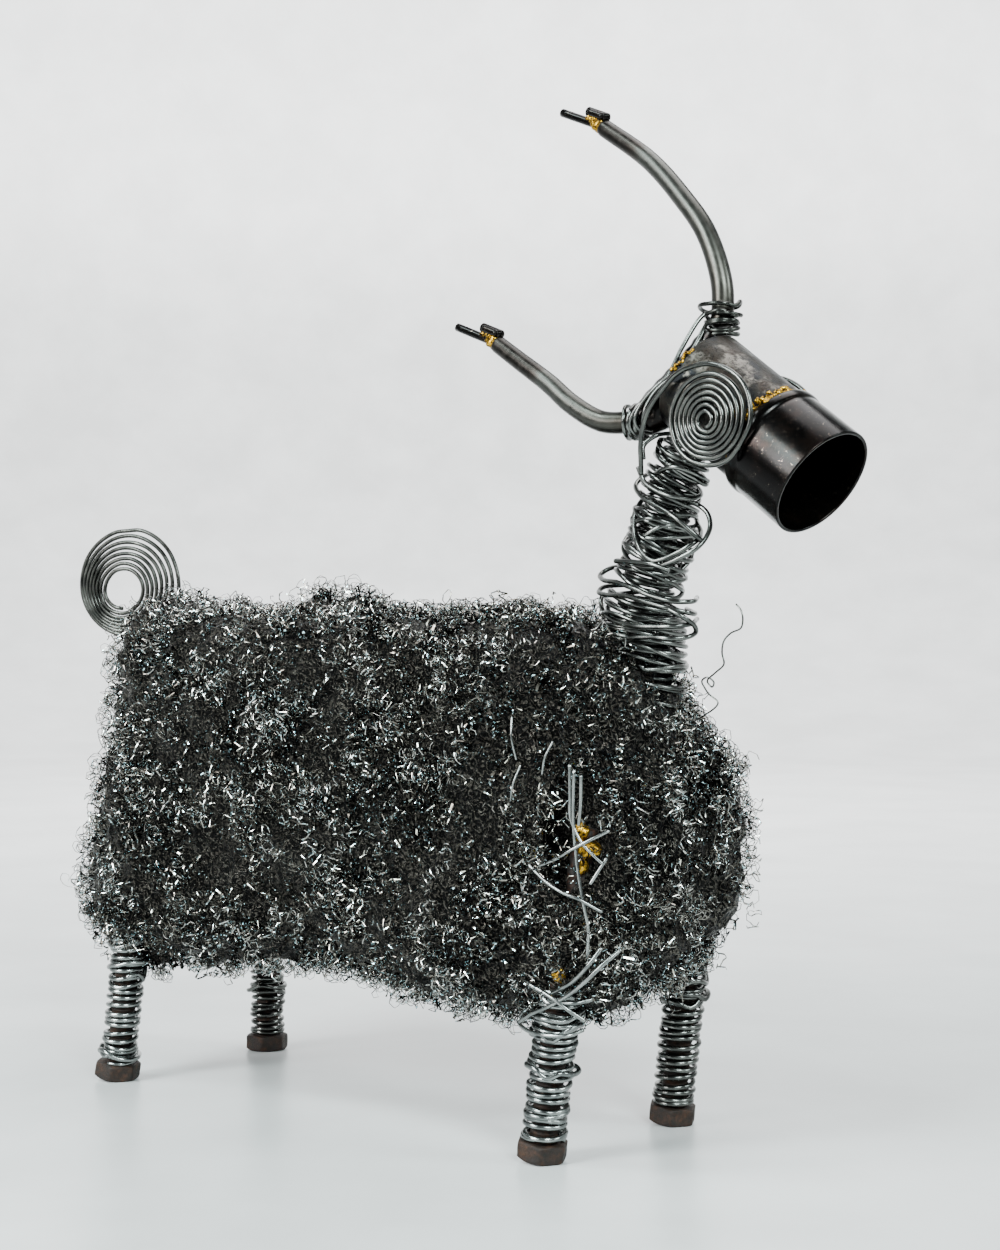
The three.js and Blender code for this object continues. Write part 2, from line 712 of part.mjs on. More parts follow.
let fleece = fleeceBale().subtract(openingRoom()).subtract(postOf(GAP));
for (const leg of legs) fleece = fleece.subtract(legRoom(leg));
fleece = fleece.subtract(neckOf(GAP));
fleece = fleece.subtract(wireAlong(tailCurve, WIRE + 2 * GAP, tailSteps, 4));
for (const { curve } of shoulderWires) {
  fleece = fleece.subtract(wireAlong(curve, WIRE + 2 * GAP, 8, 4));
}
fleece = fleece.subtract(wireAlong(curlCurve, CURL_WIRE + 2 * GAP, 20, 4));
for (const bead of [LOWER_BEAD, ...UPPER_BEADS]) fleece = fleece.subtract(beadOf(bead, GAP));
addPiece("fleece", fleece, metalWool);
addPiece("loose_curl", curl, galvanised);

// The origin is on the floor, under the middle of the whole ram's box
const box = new THREE.Box3().setFromObject(group);
const middle = box.getCenter(new THREE.Vector3());
group.position.set(-middle.x, -middle.y, -box.min.z);

export default group;
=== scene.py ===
# %% [markdown]
# # A ram made of scrap metal
# The real object is a table sculpture. Hexagon bolts bound with wire are its legs, curled metal wool is
# its fleece, a pipe with a wider collar is its head, two bent rods are its horns, and wire wound in
# spirals makes its ears and tail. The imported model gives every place, and this lesson adds the looks.
# Each new piece is a surface worked out with numpy, because wire and sheet metal are easy to describe as
# a small profile carried along a path.

import bpy
import numpy as np
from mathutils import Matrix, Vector


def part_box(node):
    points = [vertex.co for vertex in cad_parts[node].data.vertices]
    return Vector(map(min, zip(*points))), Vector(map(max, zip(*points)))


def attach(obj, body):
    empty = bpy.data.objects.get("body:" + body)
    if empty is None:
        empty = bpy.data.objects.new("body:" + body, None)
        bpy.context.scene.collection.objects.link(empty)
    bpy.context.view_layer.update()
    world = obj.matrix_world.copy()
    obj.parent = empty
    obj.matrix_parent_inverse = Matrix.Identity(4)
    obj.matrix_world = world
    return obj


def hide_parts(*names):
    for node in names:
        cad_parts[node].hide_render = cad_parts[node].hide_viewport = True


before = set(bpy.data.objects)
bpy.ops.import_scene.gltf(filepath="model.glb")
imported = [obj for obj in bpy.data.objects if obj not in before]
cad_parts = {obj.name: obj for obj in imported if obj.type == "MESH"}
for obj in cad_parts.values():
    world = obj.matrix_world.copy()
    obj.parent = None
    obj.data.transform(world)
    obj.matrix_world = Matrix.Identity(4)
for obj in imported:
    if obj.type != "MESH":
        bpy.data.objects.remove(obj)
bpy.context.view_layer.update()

# %% [markdown]
# All drawing below is in millimetres, measured from the floor point in the middle of the four feet. The
# left rear bolt stands upright, so the middle of its box says where that point is in the model.

# %% Millimetres and the middle of the feet
MM = 0.001
WIRE = 1.25
STANCE = 175.0
FRONT_TRACK = 61.0
REAR_TRACK = 67.0

bolt_box = np.array(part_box("hoof_bolt_rear_left"))
bolt_middle = bolt_box.mean(axis=0)[:2] / MM
feet = np.append(bolt_middle - [-STANCE / 2, REAR_TRACK / 2], 0.0)


def in_frame(points):
    """Points in millimetres from the middle of the feet, as metres in the model's frame."""
    return (np.asarray(points, float) + feet) * MM


print("middle of the feet:", feet.round(2))

# %% [markdown]
# The camera stands level with the top of the fleece, in front of the ram's right shoulder. Its place
# comes from where the four feet stand in the photograph, which also settles the lens.

# %% Camera
CAMERA_PLACE = [460.8, -490.2, 142.5]
camera_data = bpy.data.cameras.new("camera")
camera_data.sensor_fit = "VERTICAL"
camera_data.sensor_height = 36.0
camera_data.lens = 62.2
camera_data.clip_end = 50.0
camera = bpy.data.objects.new("camera", camera_data)
camera.location = in_frame(CAMERA_PLACE)
camera.rotation_euler = np.radians([90.4, 0.0, 40.17])
bpy.context.scene.collection.objects.link(camera)
bpy.context.scene.camera = camera
print("camera at", [round(v, 3) for v in camera.location])

# %% [markdown]
# Colours are easier to judge as sRGB hex values, the way a paint program shows them. Shaders work in
# linear light, so one function turns the first into the second.

# %% Colour
def colour(hex_value):
    """sRGB hex to linear: each channel divided by 12.92 when dark, else ((c + 0.055) / 1.055) ^ 2.4."""
    channels = np.array([int(hex_value[i : i + 2], 16) for i in (1, 3, 5)]) / 255
    linear = np.where(channels < 0.04045, channels / 12.92, ((channels + 0.055) / 1.055) ** 2.4)
    return (*linear.tolist(), 1.0)


print("middle grey:", colour("#808080"))

# %% [markdown]
# Every material is a small graph of nodes. One function adds a node, sets its options, and either types
# a value into an input or links another node's output to it.

# %% Nodes
def add(tree, kind, inputs, **options):
    """Adds a node. An input whose value is a socket is linked, any other value is typed in."""
    made = tree.nodes.new(kind)
    for name, value in options.items():
        setattr(made, name, value)
    for name, value in inputs.items():
        if isinstance(value, bpy.types.NodeSocket):
            tree.links.new(value, made.inputs[name])
        else:
            made.inputs[name].default_value = value
    return made


def new_material(name):
    """An empty material with its tree, its coordinates in metres, and its output."""
    material = bpy.data.materials.new(name)
    material.use_nodes = True
    tree = material.node_tree
    tree.nodes.clear()
    place = add(tree, "ShaderNodeTexCoord", {}).outputs["Object"]
    output = add(tree, "ShaderNodeOutputMaterial", {})
    return material, tree, place, output


def ramp(tree, value, stops):
    """A colour ramp through (position, hex colour) stops."""
    made = add(tree, "ShaderNodeValToRGB", {"Fac": value})
    while len(made.color_ramp.elements) < len(stops):
        made.color_ramp.elements.new(0.5)
    for element, (position, hex_value) in zip(made.color_ramp.elements, stops):
        element.position = position
        element.color = colour(hex_value)
    return made.outputs["Color"]


def noise(tree, place, size_mm, detail=3.0, rough=0.55):
    """Noise whose lumps are about size_mm across."""
    inputs = {"Vector": place, "Scale": 1 / (size_mm * MM), "Detail": detail, "Roughness": rough}
    return add(tree, "ShaderNodeTexNoise", inputs).outputs["Fac"]


def spread(tree, value, low, high):
    """Maps a value that runs from about 0.3 to 0.7 onto low to high."""
    inputs = {"Value": value, "From Min": 0.3, "From Max": 0.7, "To Min": low, "To Max": high}
    return add(tree, "ShaderNodeMapRange", inputs).outputs["Result"]


def relief(tree, height, depth_mm, strength=0.6):
    """A bump from a height between 0 and 1, so many millimetres deep."""
    inputs = {"Height": height, "Distance": depth_mm * MM, "Strength": strength}
    return add(tree, "ShaderNodeBump", inputs).outputs["Normal"]


def mask(tree, value, low, high):
    """Black below low and white above high."""
    return ramp(tree, value, [(low, "#000000"), (high, "#FFFFFF")])


def carried(tree, name):
    """The value of an attribute that the mesh carries."""
    return add(tree, "ShaderNodeAttribute", {}, attribute_name=name).outputs["Fac"]


def computed(tree, operation, *values):
    """The result of a sum or a product."""
    return add(tree, "ShaderNodeMath", dict(enumerate(values)), operation=operation).outputs[0]


def mixed(tree, share, first, second):
    """Mixes two colours, each a socket or a hex value."""
    ends = [end if isinstance(end, bpy.types.NodeSocket) else colour(end) for end in (first, second)]
    made = add(tree, "ShaderNodeMix", {}, data_type="RGBA")
    for socket, value in zip((made.inputs[0], made.inputs[6], made.inputs[7]), (share, *ends)):
        if isinstance(value, bpy.types.NodeSocket):
            tree.links.new(value, socket)
        else:
            socket.default_value = value
    return made.outputs[2]


def metal(tree, output, base, roughness, normal=None, metallic=1.0):
    """A Principled shader for metal, with the default IOR."""
    inputs = {"Base Color": base, "Roughness": roughness, "Metallic": metallic}
    if normal is not None:
        inputs["Normal"] = normal
    shader = add(tree, "ShaderNodeBsdfPrincipled", inputs)
    tree.links.new(shader.outputs["BSDF"], output.inputs["Surface"])


# %% [markdown]
# Galvanised wire is drawn steel with a thin coat of zinc. Drawing leaves it smooth and bright, and the
# zinc dulls in cloudy patches. The patches are a few millimetres long, and the draw lines are too fine
# to show, so a slight unevenness in roughness stands for them.

# %% Galvanised wire
def galvanised_wire(name, bright, dull, low_rough=0.18, high_rough=0.3):
    """Drawn zinc-coated wire between a bright and a dull grey."""
    material, tree, place, output = new_material(name)
    cloudy = noise(tree, place, 6.0, 2.0, 0.5)
    base = ramp(tree, cloudy, [(0.34, dull), (0.62, bright)])
    metal(tree, output, base, spread(tree, noise(tree, place, 5.0, 2.0), low_rough, high_rough))
    return material


wire_bright = galvanised_wire("galvanised wire", "#656663", "#424341")
wire_dull = galvanised_wire("galvanised wire, weathered", "#42423F", "#232422", 0.2, 0.4)
wire_clean = galvanised_wire("galvanised wire, clean", "#8E918F", "#666968")
wire_ear = galvanised_wire("galvanised wire, ears", "#50514E", "#363736")
print("made", wire_bright.name, wire_dull.name, wire_clean.name)

# %% [markdown]
# The bolts are plain steel that has rusted to an even dark brown, with lighter scuffs. Rust is not a
# mirror, so it is mostly a rough dark coat with only a little metal left in it.

# %% Rusted steel
bolt_rust, tree, place, output = new_material("rusted steel")
patches = noise(tree, place, 2.2, 5.0, 0.65)
base = ramp(tree, patches, [(0.32, "#0A0502"), (0.5, "#1D0F06"), (0.64, "#331D0D"), (0.78, "#54371E")])
grain = noise(tree, place, 0.45, 4.0, 0.7)
metal(tree, output, base, spread(tree, grain, 0.5, 0.8), relief(tree, grain, 0.3, 0.8), 0.3)

post_rust, tree, place, output = new_material("rusted steel, sooty")
patches = noise(tree, place, 2.0, 5.0, 0.65)
base = ramp(tree, patches, [(0.35, "#050404"), (0.52, "#160D09"), (0.64, "#3A1E10"), (0.72, "#7A3D1B")])
metal(tree, output, base, 0.6, relief(tree, patches, 0.3, 0.8), 0.4)
print("made", bolt_rust.name, "and", post_rust.name)

# %% [markdown]
# Metal wool is shaved steel that curls as it leaves the cutter. Each curl is a bright ribbon, but it
# mostly mirrors its dark neighbours, so its colours are painted dark, as painted shade from the wool
# round it, and small specks are painted cyan-white as painted glints. The wool is coloured by two
# attributes that its meshes carry: shade is a curl's tone, random from curl to curl and painted darker
# on the lower layers as painted shade, and a second one paints shade on the deep wool in the opening.

# %% Metal wool
wool_metal, tree, place, output = new_material("metal wool")
patchy = noise(tree, place, 2.0, 3.0)
tone = computed(tree, "MULTIPLY_ADD", patchy, 0.5, carried(tree, "shade"))
# The dark end of this ramp is painted shade: the lower layers carry the low shade values.
base = ramp(tree, tone, [(0.2, "#121210"), (0.45, "#43403B"), (0.75, "#77736C"), (1.0, "#A8A6A1")])
# Painted glints: small specks of the ribbons are coloured near-white with a cyan tint, standing in for
# sparkles of light.
cut = mask(tree, noise(tree, place, 0.75, 1.0), 0.63, 0.65)
metal(tree, output, mixed(tree, cut, base, "#CFF3FA"), spread(tree, patchy, 0.05, 0.13))

# The deep wool is painted nearly black, as painted shade under the curls. The lighter crests of its bent
# bands stand for strands, and the dark between them is painted shade too.
wool_dark, tree, place, output = new_material("metal wool, deep layers")
bent = {"Vector": place, "Scale": 1 / (6 * MM), "Distortion": 16.0, "Detail": 3.0, "Detail Scale": 2.6}
strands = add(tree, "ShaderNodeTexWave", bent, bands_direction="DIAGONAL").outputs["Fac"]
fine = noise(tree, place, 0.8, 3.0, 0.7)
lit = computed(tree, "MULTIPLY", strands, fine)
base = ramp(tree, lit, [(0.14, "#030303"), (0.32, "#121110"), (0.46, "#54504A")])
# Painted shade: inside the shoulder opening the deep wool is mixed towards near-black.
base = mixed(tree, carried(tree, "hollow"), base, "#080605")
metal(tree, output, base, 0.3, relief(tree, lit, 1.6, 1.0), 0.9)
print("made", wool_metal.name, "and", wool_dark.name)

# %% [markdown]
# The skull is a short pipe that was held in a flame while its joint was brazed. Heat leaves a chalky
# pale scale, straw and brown tints, and blue-grey patches with fine black pits.

# %% Heated pipe
heated_pipe, tree, place, output = new_material("heat-scaled steel pipe")
scale_tone = noise(tree, place, 8.0, 6.0, 0.65)
stops = [(0.3, "#0A0705"), (0.38, "#1F1610"), (0.45, "#28241F")]
stops += [(0.51, "#201F1C"), (0.56, "#0E1013"), (0.66, "#09090A")]
tints = ramp(tree, scale_tone, stops)
chalk = mask(tree, noise(tree, place, 6.0, 4.0, 0.6), 0.53, 0.63)
tints = mixed(tree, chalk, tints, "#5E5A54")
pits = noise(tree, place, 1.0, 5.0, 0.75)
pitted = ramp(tree, pits, [(0.4, "#FFFFFF"), (0.46, "#000000")])
base = mixed(tree, pitted, tints, "#0D0B0A")
metal(tree, output, base, spread(tree, scale_tone, 0.44, 0.3), relief(tree, pits, 0.3, 0.5), 0.9)
print("made", heated_pipe.name)

# %% [markdown]
# The muzzle is blackened steel. It is satin, nearly black, with reddish-brown heat tints and a few pale
# scratches and spatters near the joint.

# %% Blackened steel
black_steel, tree, place, output = new_material("blackened steel")
tone = noise(tree, place, 7.0, 4.0, 0.6)
base = ramp(tree, tone, [(0.35, "#070606"), (0.5, "#0C0A09"), (0.62, "#160F0C"), (0.75, "#100E0D")])
worn = noise(tree, place, 1.1, 6.0, 0.8)
base = mixed(tree, mask(tree, worn, 0.61, 0.68), base, "#6B6159")
metal(tree, output, base, spread(tree, tone, 0.17, 0.25), relief(tree, worn, 0.08, 0.3), 0.86)

horn_steel, tree, place, output = new_material("bare steel rod, heat-darkened end")
streaks = noise(tree, place, 2.5, 5.0, 0.65)
shifted = computed(tree, "MULTIPLY_ADD", streaks, 0.05, carried(tree, "along"))
stops = [(0.03, "#292621"), (0.12, "#3A3935"), (0.5, "#434441"), (0.53, "#2F2B28"), (0.56, "#1F1D1B")]
clean = ramp(tree, shifted, stops)
base = mixed(tree, ramp(tree, streaks, [(0.4, "#000000"), (0.7, "#8A8A8A")]), clean, "#4A4541")
metal(tree, output, base, spread(tree, streaks, 0.26, 0.42), relief(tree, streaks, 0.1, 0.3), 0.95)
print("made", black_steel.name, "and", horn_steel.name)

# %% [markdown]
# Brazing brass runs into a joint as a bright gold liquid and freezes in a smooth, lumpy bead. Black
# flux is left on it in spots.

# %% Brazing brass
braze_brass, tree, place, output = new_material("brazing brass with flux")
flux = noise(tree, place, 1.6, 4.0, 0.7)
base = ramp(tree, flux, [(0.4, "#0E0A06"), (0.47, "#6E5016"), (0.55, "#A87F1E"), (0.75, "#D1A93C")])
metal(tree, output, base, spread(tree, flux, 0.45, 0.18), relief(tree, flux, 0.3, 0.5), 0.95)
print("made", braze_brass.name)

# %% [markdown]
# Wires and rods are all made the same way: a circle carried along a path. The circle has to stay square
# to the path without twisting, so each ring takes the previous ring's direction and drops the part of
# it that points along the path. The function works on many wires at once.

# %% Paths and tubes
END_BULGE = 0.3


def circle(count):
    """Angles evenly round a full turn."""
    return np.linspace(0, 2 * np.pi, count, endpoint=False)


def round_the(angle, across, aside):
    """Directions at each angle: cos(angle) * across + sin(angle) * aside."""
    return np.cos(angle)[..., None] * across + np.sin(angle)[..., None] * aside


def smooth_path(points, steps):
    """A cubic through points. Slopes come from the neighbours, and the steps are evenly spaced along it."""
    points = np.asarray(points, float)
    gaps = np.linalg.norm(np.diff(points, axis=0), axis=1)
    knots = np.r_[0, np.cumsum(np.sqrt(gaps))]
    slopes = np.gradient(points, knots, axis=0)
    fine = np.linspace(0, knots[-1], 24 * len(points))
    i = np.clip(np.searchsorted(knots, fine, side="right") - 1, 0, len(knots) - 2)
    width = (knots[i + 1] - knots[i])[:, None]
    u = (fine - knots[i])[:, None] / width
    start = (2 * u**3 - 3 * u**2 + 1) * points[i] + (u**3 - 2 * u**2 + u) * width * slopes[i]
    end = (3 * u**2 - 2 * u**3) * points[i + 1] + (u**3 - u**2) * width * slopes[i + 1]
    curve = start + end
    length = np.r_[0, np.cumsum(np.linalg.norm(np.diff(curve, axis=0), axis=1))]
    even = np.linspace(0, length[-1], steps)
    return np.stack([np.interp(even, length, curve[:, k]) for k in range(3)], axis=1)


def evenly(share, values):
    """Values spread evenly from 0 to 1 and read off at each share, with straight lines between them."""
    return np.interp(share, np.linspace(0, 1, len(values)), values)


def unit(vectors):
    """Vectors divided by their length."""
    return vectors / np.maximum(np.linalg.norm(vectors, axis=-1, keepdims=True), 1e-12)


def frames_along(paths):
    """Tangent, normal and binormal at each step; a normal is the last one less its part along the path."""
    tangents = unit(np.gradient(paths, axis=1))
    upright = np.abs(tangents[:, 0, 2:]) < 0.9
    normal = np.cross(tangents[:, 0], np.where(upright, [0.0, 0.0, 1.0], [1.0, 0.0, 0.0]))
    normals = np.empty_like(paths)
    for step in range(paths.shape[1]):
        tangent = tangents[:, step]
        normal = unit(normal - np.sum(normal * tangent, axis=1, keepdims=True) * tangent)
        normals[:, step] = normal
    return tangents, normals, np.cross(tangents, normals)


def tube_faces(wires, steps, sides):
    """Quads between neighbouring rings and a fan of triangles on each end, all facing outwards."""
    first = np.arange(wires)[:, None, None] * (steps * sides + 2)
    ring = np.arange(steps - 1)[None, :, None] * sides
    side = np.arange(sides)[None, None, :]
    after = (side + 1) % sides
    a, b = first + ring + side, first + ring + after
    quads = np.stack([a, b, b + sides, a + sides], axis=-1).reshape(-1, 4)
    side, after = side[0], after[0]
    start, end = first[:, 0] + steps * sides, first[:, 0] + steps * sides + 1
    last = first[:, 0] + (steps - 1) * sides
    cap = [np.broadcast_to(start, (wires, sides)), first[:, 0] + after, first[:, 0] + side]
    far = [np.broadcast_to(end, (wires, sides)), last + side, last + after]
    return [quads, np.stack(cap, axis=-1).reshape(-1, 3), np.stack(far, axis=-1).reshape(-1, 3)]


def tubes(paths, radii, sides=10):
    """Circles carried along paths of shape wires, steps, 3, with a low cone on each end."""
    paths = np.asarray(paths, float)
    paths = paths[None] if paths.ndim == 2 else paths
    wires, steps = paths.shape[:2]
    radii = np.broadcast_to(np.asarray(radii, float), (wires, steps))
    tangents, normals, binormals = frames_along(paths)
    around = round_the(circle(sides), normals[:, :, None], binormals[:, :, None])
    rings = paths[:, :, None] + radii[:, :, None, None] * around
    bulge = END_BULGE * radii[..., None] * tangents
    ends = np.stack([paths[:, 0] - bulge[:, 0], paths[:, -1] + bulge[:, -1]], axis=1)
    points = np.concatenate([rings.reshape(wires, -1, 3), ends], axis=1).reshape(-1, 3)
    return points, tube_faces(wires, steps, sides)


def joined(*bodies):
    """Several (points, faces) bodies as one, with the later faces counted on past the earlier points."""
    points, faces, count = [], [], 0
    for body_points, body_faces in bodies:
        points.append(body_points)
        faces.extend(face + count for face in body_faces)
        count += len(body_points)
    return np.concatenate(points), faces


print("path test:", smooth_path([[0, 0, 0], [10, 0, 0], [10, 10, 0]], 5).round(2).tolist())

# %% [markdown]
# A mesh takes its points and faces as flat lists of numbers, which is much quicker than adding them one
# by one. Each finished piece rides on the model's one body, takes its material, and hides the plain
# nodes that it stands for.

# %% Mesh objects
triangles_made = {}


def put(name, body, material, slot, stands_for=(), smooth=True, **attributes):
    """A named mesh object at the origin from points in millimetres, its faces and point attributes."""
    points, faces = body
    mesh = bpy.data.meshes.new(name)
    corners = np.concatenate([face.ravel() for face in faces]).astype(np.int32)
    sizes = np.concatenate([np.full(len(face), face.shape[1]) for face in faces])
    mesh.vertices.add(len(points))
    mesh.loops.add(len(corners))
    mesh.polygons.add(len(sizes))
    mesh.vertices.foreach_set("co", in_frame(points).ravel())
    mesh.loops.foreach_set("vertex_index", corners)
    mesh.polygons.foreach_set("loop_start", (np.cumsum(sizes) - sizes).astype(np.int32))
    mesh.update(calc_edges=True)
    if smooth:
        mesh.shade_smooth()
    else:
        mesh.shade_flat()
    for attribute, values in attributes.items():
        layer = mesh.attributes.new(attribute, "FLOAT", "POINT")
        layer.data.foreach_set("value", np.asarray(values, np.float32).ravel())
    mesh.materials.append(material)
    piece = bpy.data.objects.new(name, mesh)
    bpy.context.scene.collection.objects.link(piece)
    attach(piece, "root")
    if stands_for:
        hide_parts(*stands_for)
    triangles_made[name] = int((sizes - 2).sum())
    print(name, "triangles:", triangles_made[name])


def wander(rng, steps, waves, size):
    """A smooth random line: a few sines of random phase and rising rate, each weaker than the last."""
    t = np.linspace(0, 1, steps)
    rates = waves * (1 + np.arange(4) * 0.9)
    phases = rng.uniform(0, 2 * np.pi, 4)
    strengths = size / (1 + np.arange(4)) * rng.uniform(0.6, 1.0, 4)
    return (strengths * np.sin(2 * np.pi * rates * t[:, None] + phases)).sum(axis=1)


def grid_faces(rows, columns):
    """Quads of a grid that closes on itself along its columns, rows running upwards."""
    row = np.arange(rows - 1)[:, None] * columns
    column = np.arange(columns)[None, :]
    after = (column + 1) % columns
    corners = [row + column, row + after, row + columns + after, row + columns + column]
    return np.stack(corners, -1).reshape(-1, 4)


def closed_grid(rings):
    """Rings of points, shape rows, columns, 3, with a fan of triangles to a point on each end."""
    rows, columns = rings.shape[:2]
    points = np.concatenate([rings.reshape(-1, 3), rings[0].mean(0)[None], rings[-1].mean(0)[None]])
    count, side = rows * columns, np.arange(columns)
    after, last = (side + 1) % columns, count - columns
    low = np.stack([np.full(columns, count), after, side], 1)
    high = np.stack([np.full(columns, count + 1), last + side, last + after], 1)
    return points, [grid_faces(rows, columns), low, high]


def ball_ways(rows, columns, margin):
    """Unit directions over a ball, from margin radians above its lowest point to as far below its top."""
    polar = np.linspace(margin, np.pi - margin, rows)[:, None]
    level = round_the(circle(columns), np.array([1.0, 0, 0]), np.array([0, 1.0, 0]))
    return np.sin(polar)[..., None] * level - np.cos(polar)[..., None] * np.array([0, 0, 1.0])


print("helpers ready")

# %% [markdown]
# Each leg is a hexagon bolt standing on its head. The head is a surface of two parameters, the angle
# round the axis and the place along the profile. Its radius is that of a hexagon, cut off by a circle
# near the chamfered edge. The shank is a helical ridge, the thread.

# %% Hoof bolts
HOOF_FLATS = 13.0
HOOF_THICK = 5.3
SHANK = 8.0
LEG_LENGTH = 50.0
FILED_FLAT = 0.4
THREAD_PITCH = 1.25
THREAD_DEPTH = 0.9
HOOF_PROFILE = [
    [0, 0.2], [0, 5.6], [0.15, 6.35], [0.5, 6.9], [0.9, 7.4], [2, 7.42],
    [3.3, 7.42], [4.4, 7.42], [4.9, 7.3], [5.2, 6.9], [5.3, 6.5], [5.3, 4.2],
]
LEGS = {
    "front_right": {"end": 1, "side": -1, "forward": 9.6, "outward": 1.9},
    "front_left": {"end": 1, "side": 1, "forward": 7.1, "outward": -0.7},
    "rear_right": {"end": -1, "side": -1, "forward": 8.0, "outward": 0.0},
    "rear_left": {"end": -1, "side": 1, "forward": 0.0, "outward": 0.0},
}


def leg_frame(leg):
    """The foot of a leg's axis and three directions: across, aside, and up along the leaning axis."""
    track = FRONT_TRACK if leg["end"] > 0 else REAR_TRACK
    lean = [np.tan(np.radians(leg["forward"])), leg["side"] * np.tan(np.radians(leg["outward"])), 1.0]
    axis = unit(np.array(lean))
    dip = HOOF_FLATS / 2 * np.sqrt(1 - axis[2] ** 2)
    foot = np.array([leg["end"] * STANCE / 2, leg["side"] * track / 2, max(dip - FILED_FLAT, 0.0)])
    across = unit(np.cross([0.0, 1.0, 0.0], axis))
    return foot, across, np.cross(axis, across), axis


def lathe(frame_of_axis, profile_radius, profile_height, angle):
    """A closed grid with rings at each height along an axis and points at each angle round it."""
    foot, across, aside, axis = frame_of_axis
    radial = round_the(angle, across, aside)
    return closed_grid(foot + profile_height[..., None] * axis + profile_radius[..., None] * radial)


def hoof_bolt(leg, rng):
    """Hexagon radius = half the flats over the cosine to the nearest flat, never above the chamfer cone."""
    frame_of_axis = leg_frame(leg)
    angle = circle(72)[None]
    hexagon = HOOF_FLATS / 2 / np.cos((angle % (np.pi / 3)) - np.pi / 6)
    heights, cone = np.array(HOOF_PROFILE).T[..., None]
    radius = np.minimum(hexagon, cone) - 0.08
    round_phase, rise_phase = rng.uniform(0, 6), rng.uniform(0, 6)
    dents = 0.12 * np.sin(3 * angle + round_phase) * np.sin(heights * 1.3 + rise_phase)
    points, faces = lathe(frame_of_axis, radius + dents * (radius > 5), heights, angle)
    points[:, 2] = np.maximum(points[:, 2], 0.0)
    rise = np.linspace(HOOF_THICK - 0.3, LEG_LENGTH, 160)[:, None]
    turn = circle(20)[None]
    tooth = np.abs(((rise / THREAD_PITCH - turn / (2 * np.pi)) % 1) - 0.5)
    shank = lathe(frame_of_axis, SHANK / 2 - 0.05 - THREAD_DEPTH * tooth, rise, turn)
    return joined((points, faces), shank)


rng = np.random.default_rng(11)
for name, leg in LEGS.items():
    put("bolt_" + name, hoof_bolt(leg, rng), bolt_rust, "rusted_bolt", ["hoof_bolt_" + name])

# %% [markdown]
# Galvanised wire is wound round each bolt by hand, so no two turns are the same. The path is a helix
# whose height, radius and centre wander a little, and whose turns tilt now and then. Gaps are left where
# the dark thread shows.

# %% Leg bindings
def winding(frame_of_axis, heights, radii, turns, rng, tilt=0.8, sway=0.35, per_turn=30, waves=5):
    """A helix: angle grows with the step, height follows heights plus a tilt, and the radius wanders."""
    steps = int(turns * per_turn)
    foot, across, aside, axis = frame_of_axis
    t = np.linspace(0, 1, steps)
    angle = 2 * np.pi * turns * t + rng.uniform(0, 6)
    height = evenly(t, heights)
    height = height + wander(rng, steps, waves, 0.3)
    slant = tilt * np.sin(angle + wander(rng, steps, waves, 3.0))
    height = height + slant * (0.4 + np.abs(wander(rng, steps, waves, 0.6)))
    radius = evenly(t, radii) + np.abs(wander(rng, steps, 2 * waves, 0.35))
    centre = wander(rng, steps, waves, sway)[:, None] * across
    centre = centre + wander(rng, steps, waves, sway)[:, None] * aside
    return foot + centre + height[:, None] * axis + radius[:, None] * round_the(angle, across, aside)


LEG_WIRE = 0.74
BINDINGS = {
    "front_right": (20, 3, [25, 27], [6, 7.6, 11.5, 14, 17.4, 20, 25, 28.5, 32, 35.5, 39, 43, 49]),
    "front_left": (21, 8, [38, 41], [6, 8, 12, 16, 20, 24, 28, 31, 35, 39, 43, 47, 50]),
    "rear_right": (21, 5, [8, 9], [6, 9, 12, 16, 20, 24, 28, 32, 36, 40, 44, 47, 50]),
    "rear_left": (21, 6, [20, 23], [6, 9, 13, 16, 20, 24, 28, 32, 36, 40, 44, 47, 50]),
}
for name, (turns, seed, stray_heights, heights) in BINDINGS.items():
    rng = np.random.default_rng(seed)
    axis_frame = leg_frame(LEGS[name])
    radius = 5.3 if LEGS[name]["end"] > 0 else 4.9
    inner = winding(axis_frame, heights, [radius, radius + 0.1], turns, rng, 0.45, 0.25)
    over = winding(axis_frame, [34, 48], [radius + 1.0, radius + 1.2], 2.6, rng, 1.6, 0.4, 30, 2)
    stray_radii = [radius + 0.9, radius + 1.6, radius + 1.0]
    stray = winding(axis_frame, stray_heights, stray_radii, 1.4, rng, 1.2, 0.3, 40, 1)
    wires = joined(*(tubes(path, LEG_WIRE) for path in (inner, over, stray)))
    finish = wire_clean if "right" in name else wire_bright
    put("leg_wire_" + name, wires, finish, "galvanised_wire", ["leg_binding_" + name])

# %% [markdown]
# The fleece keeps the outline of the plain solid: a squared egg with bunches. In words, a direction is
# stretched until its side and plan powers add up to one, scaled by the half sizes, and pushed out by a
# bell-shaped rise round each bunch. The same function later puts every curl on the surface.

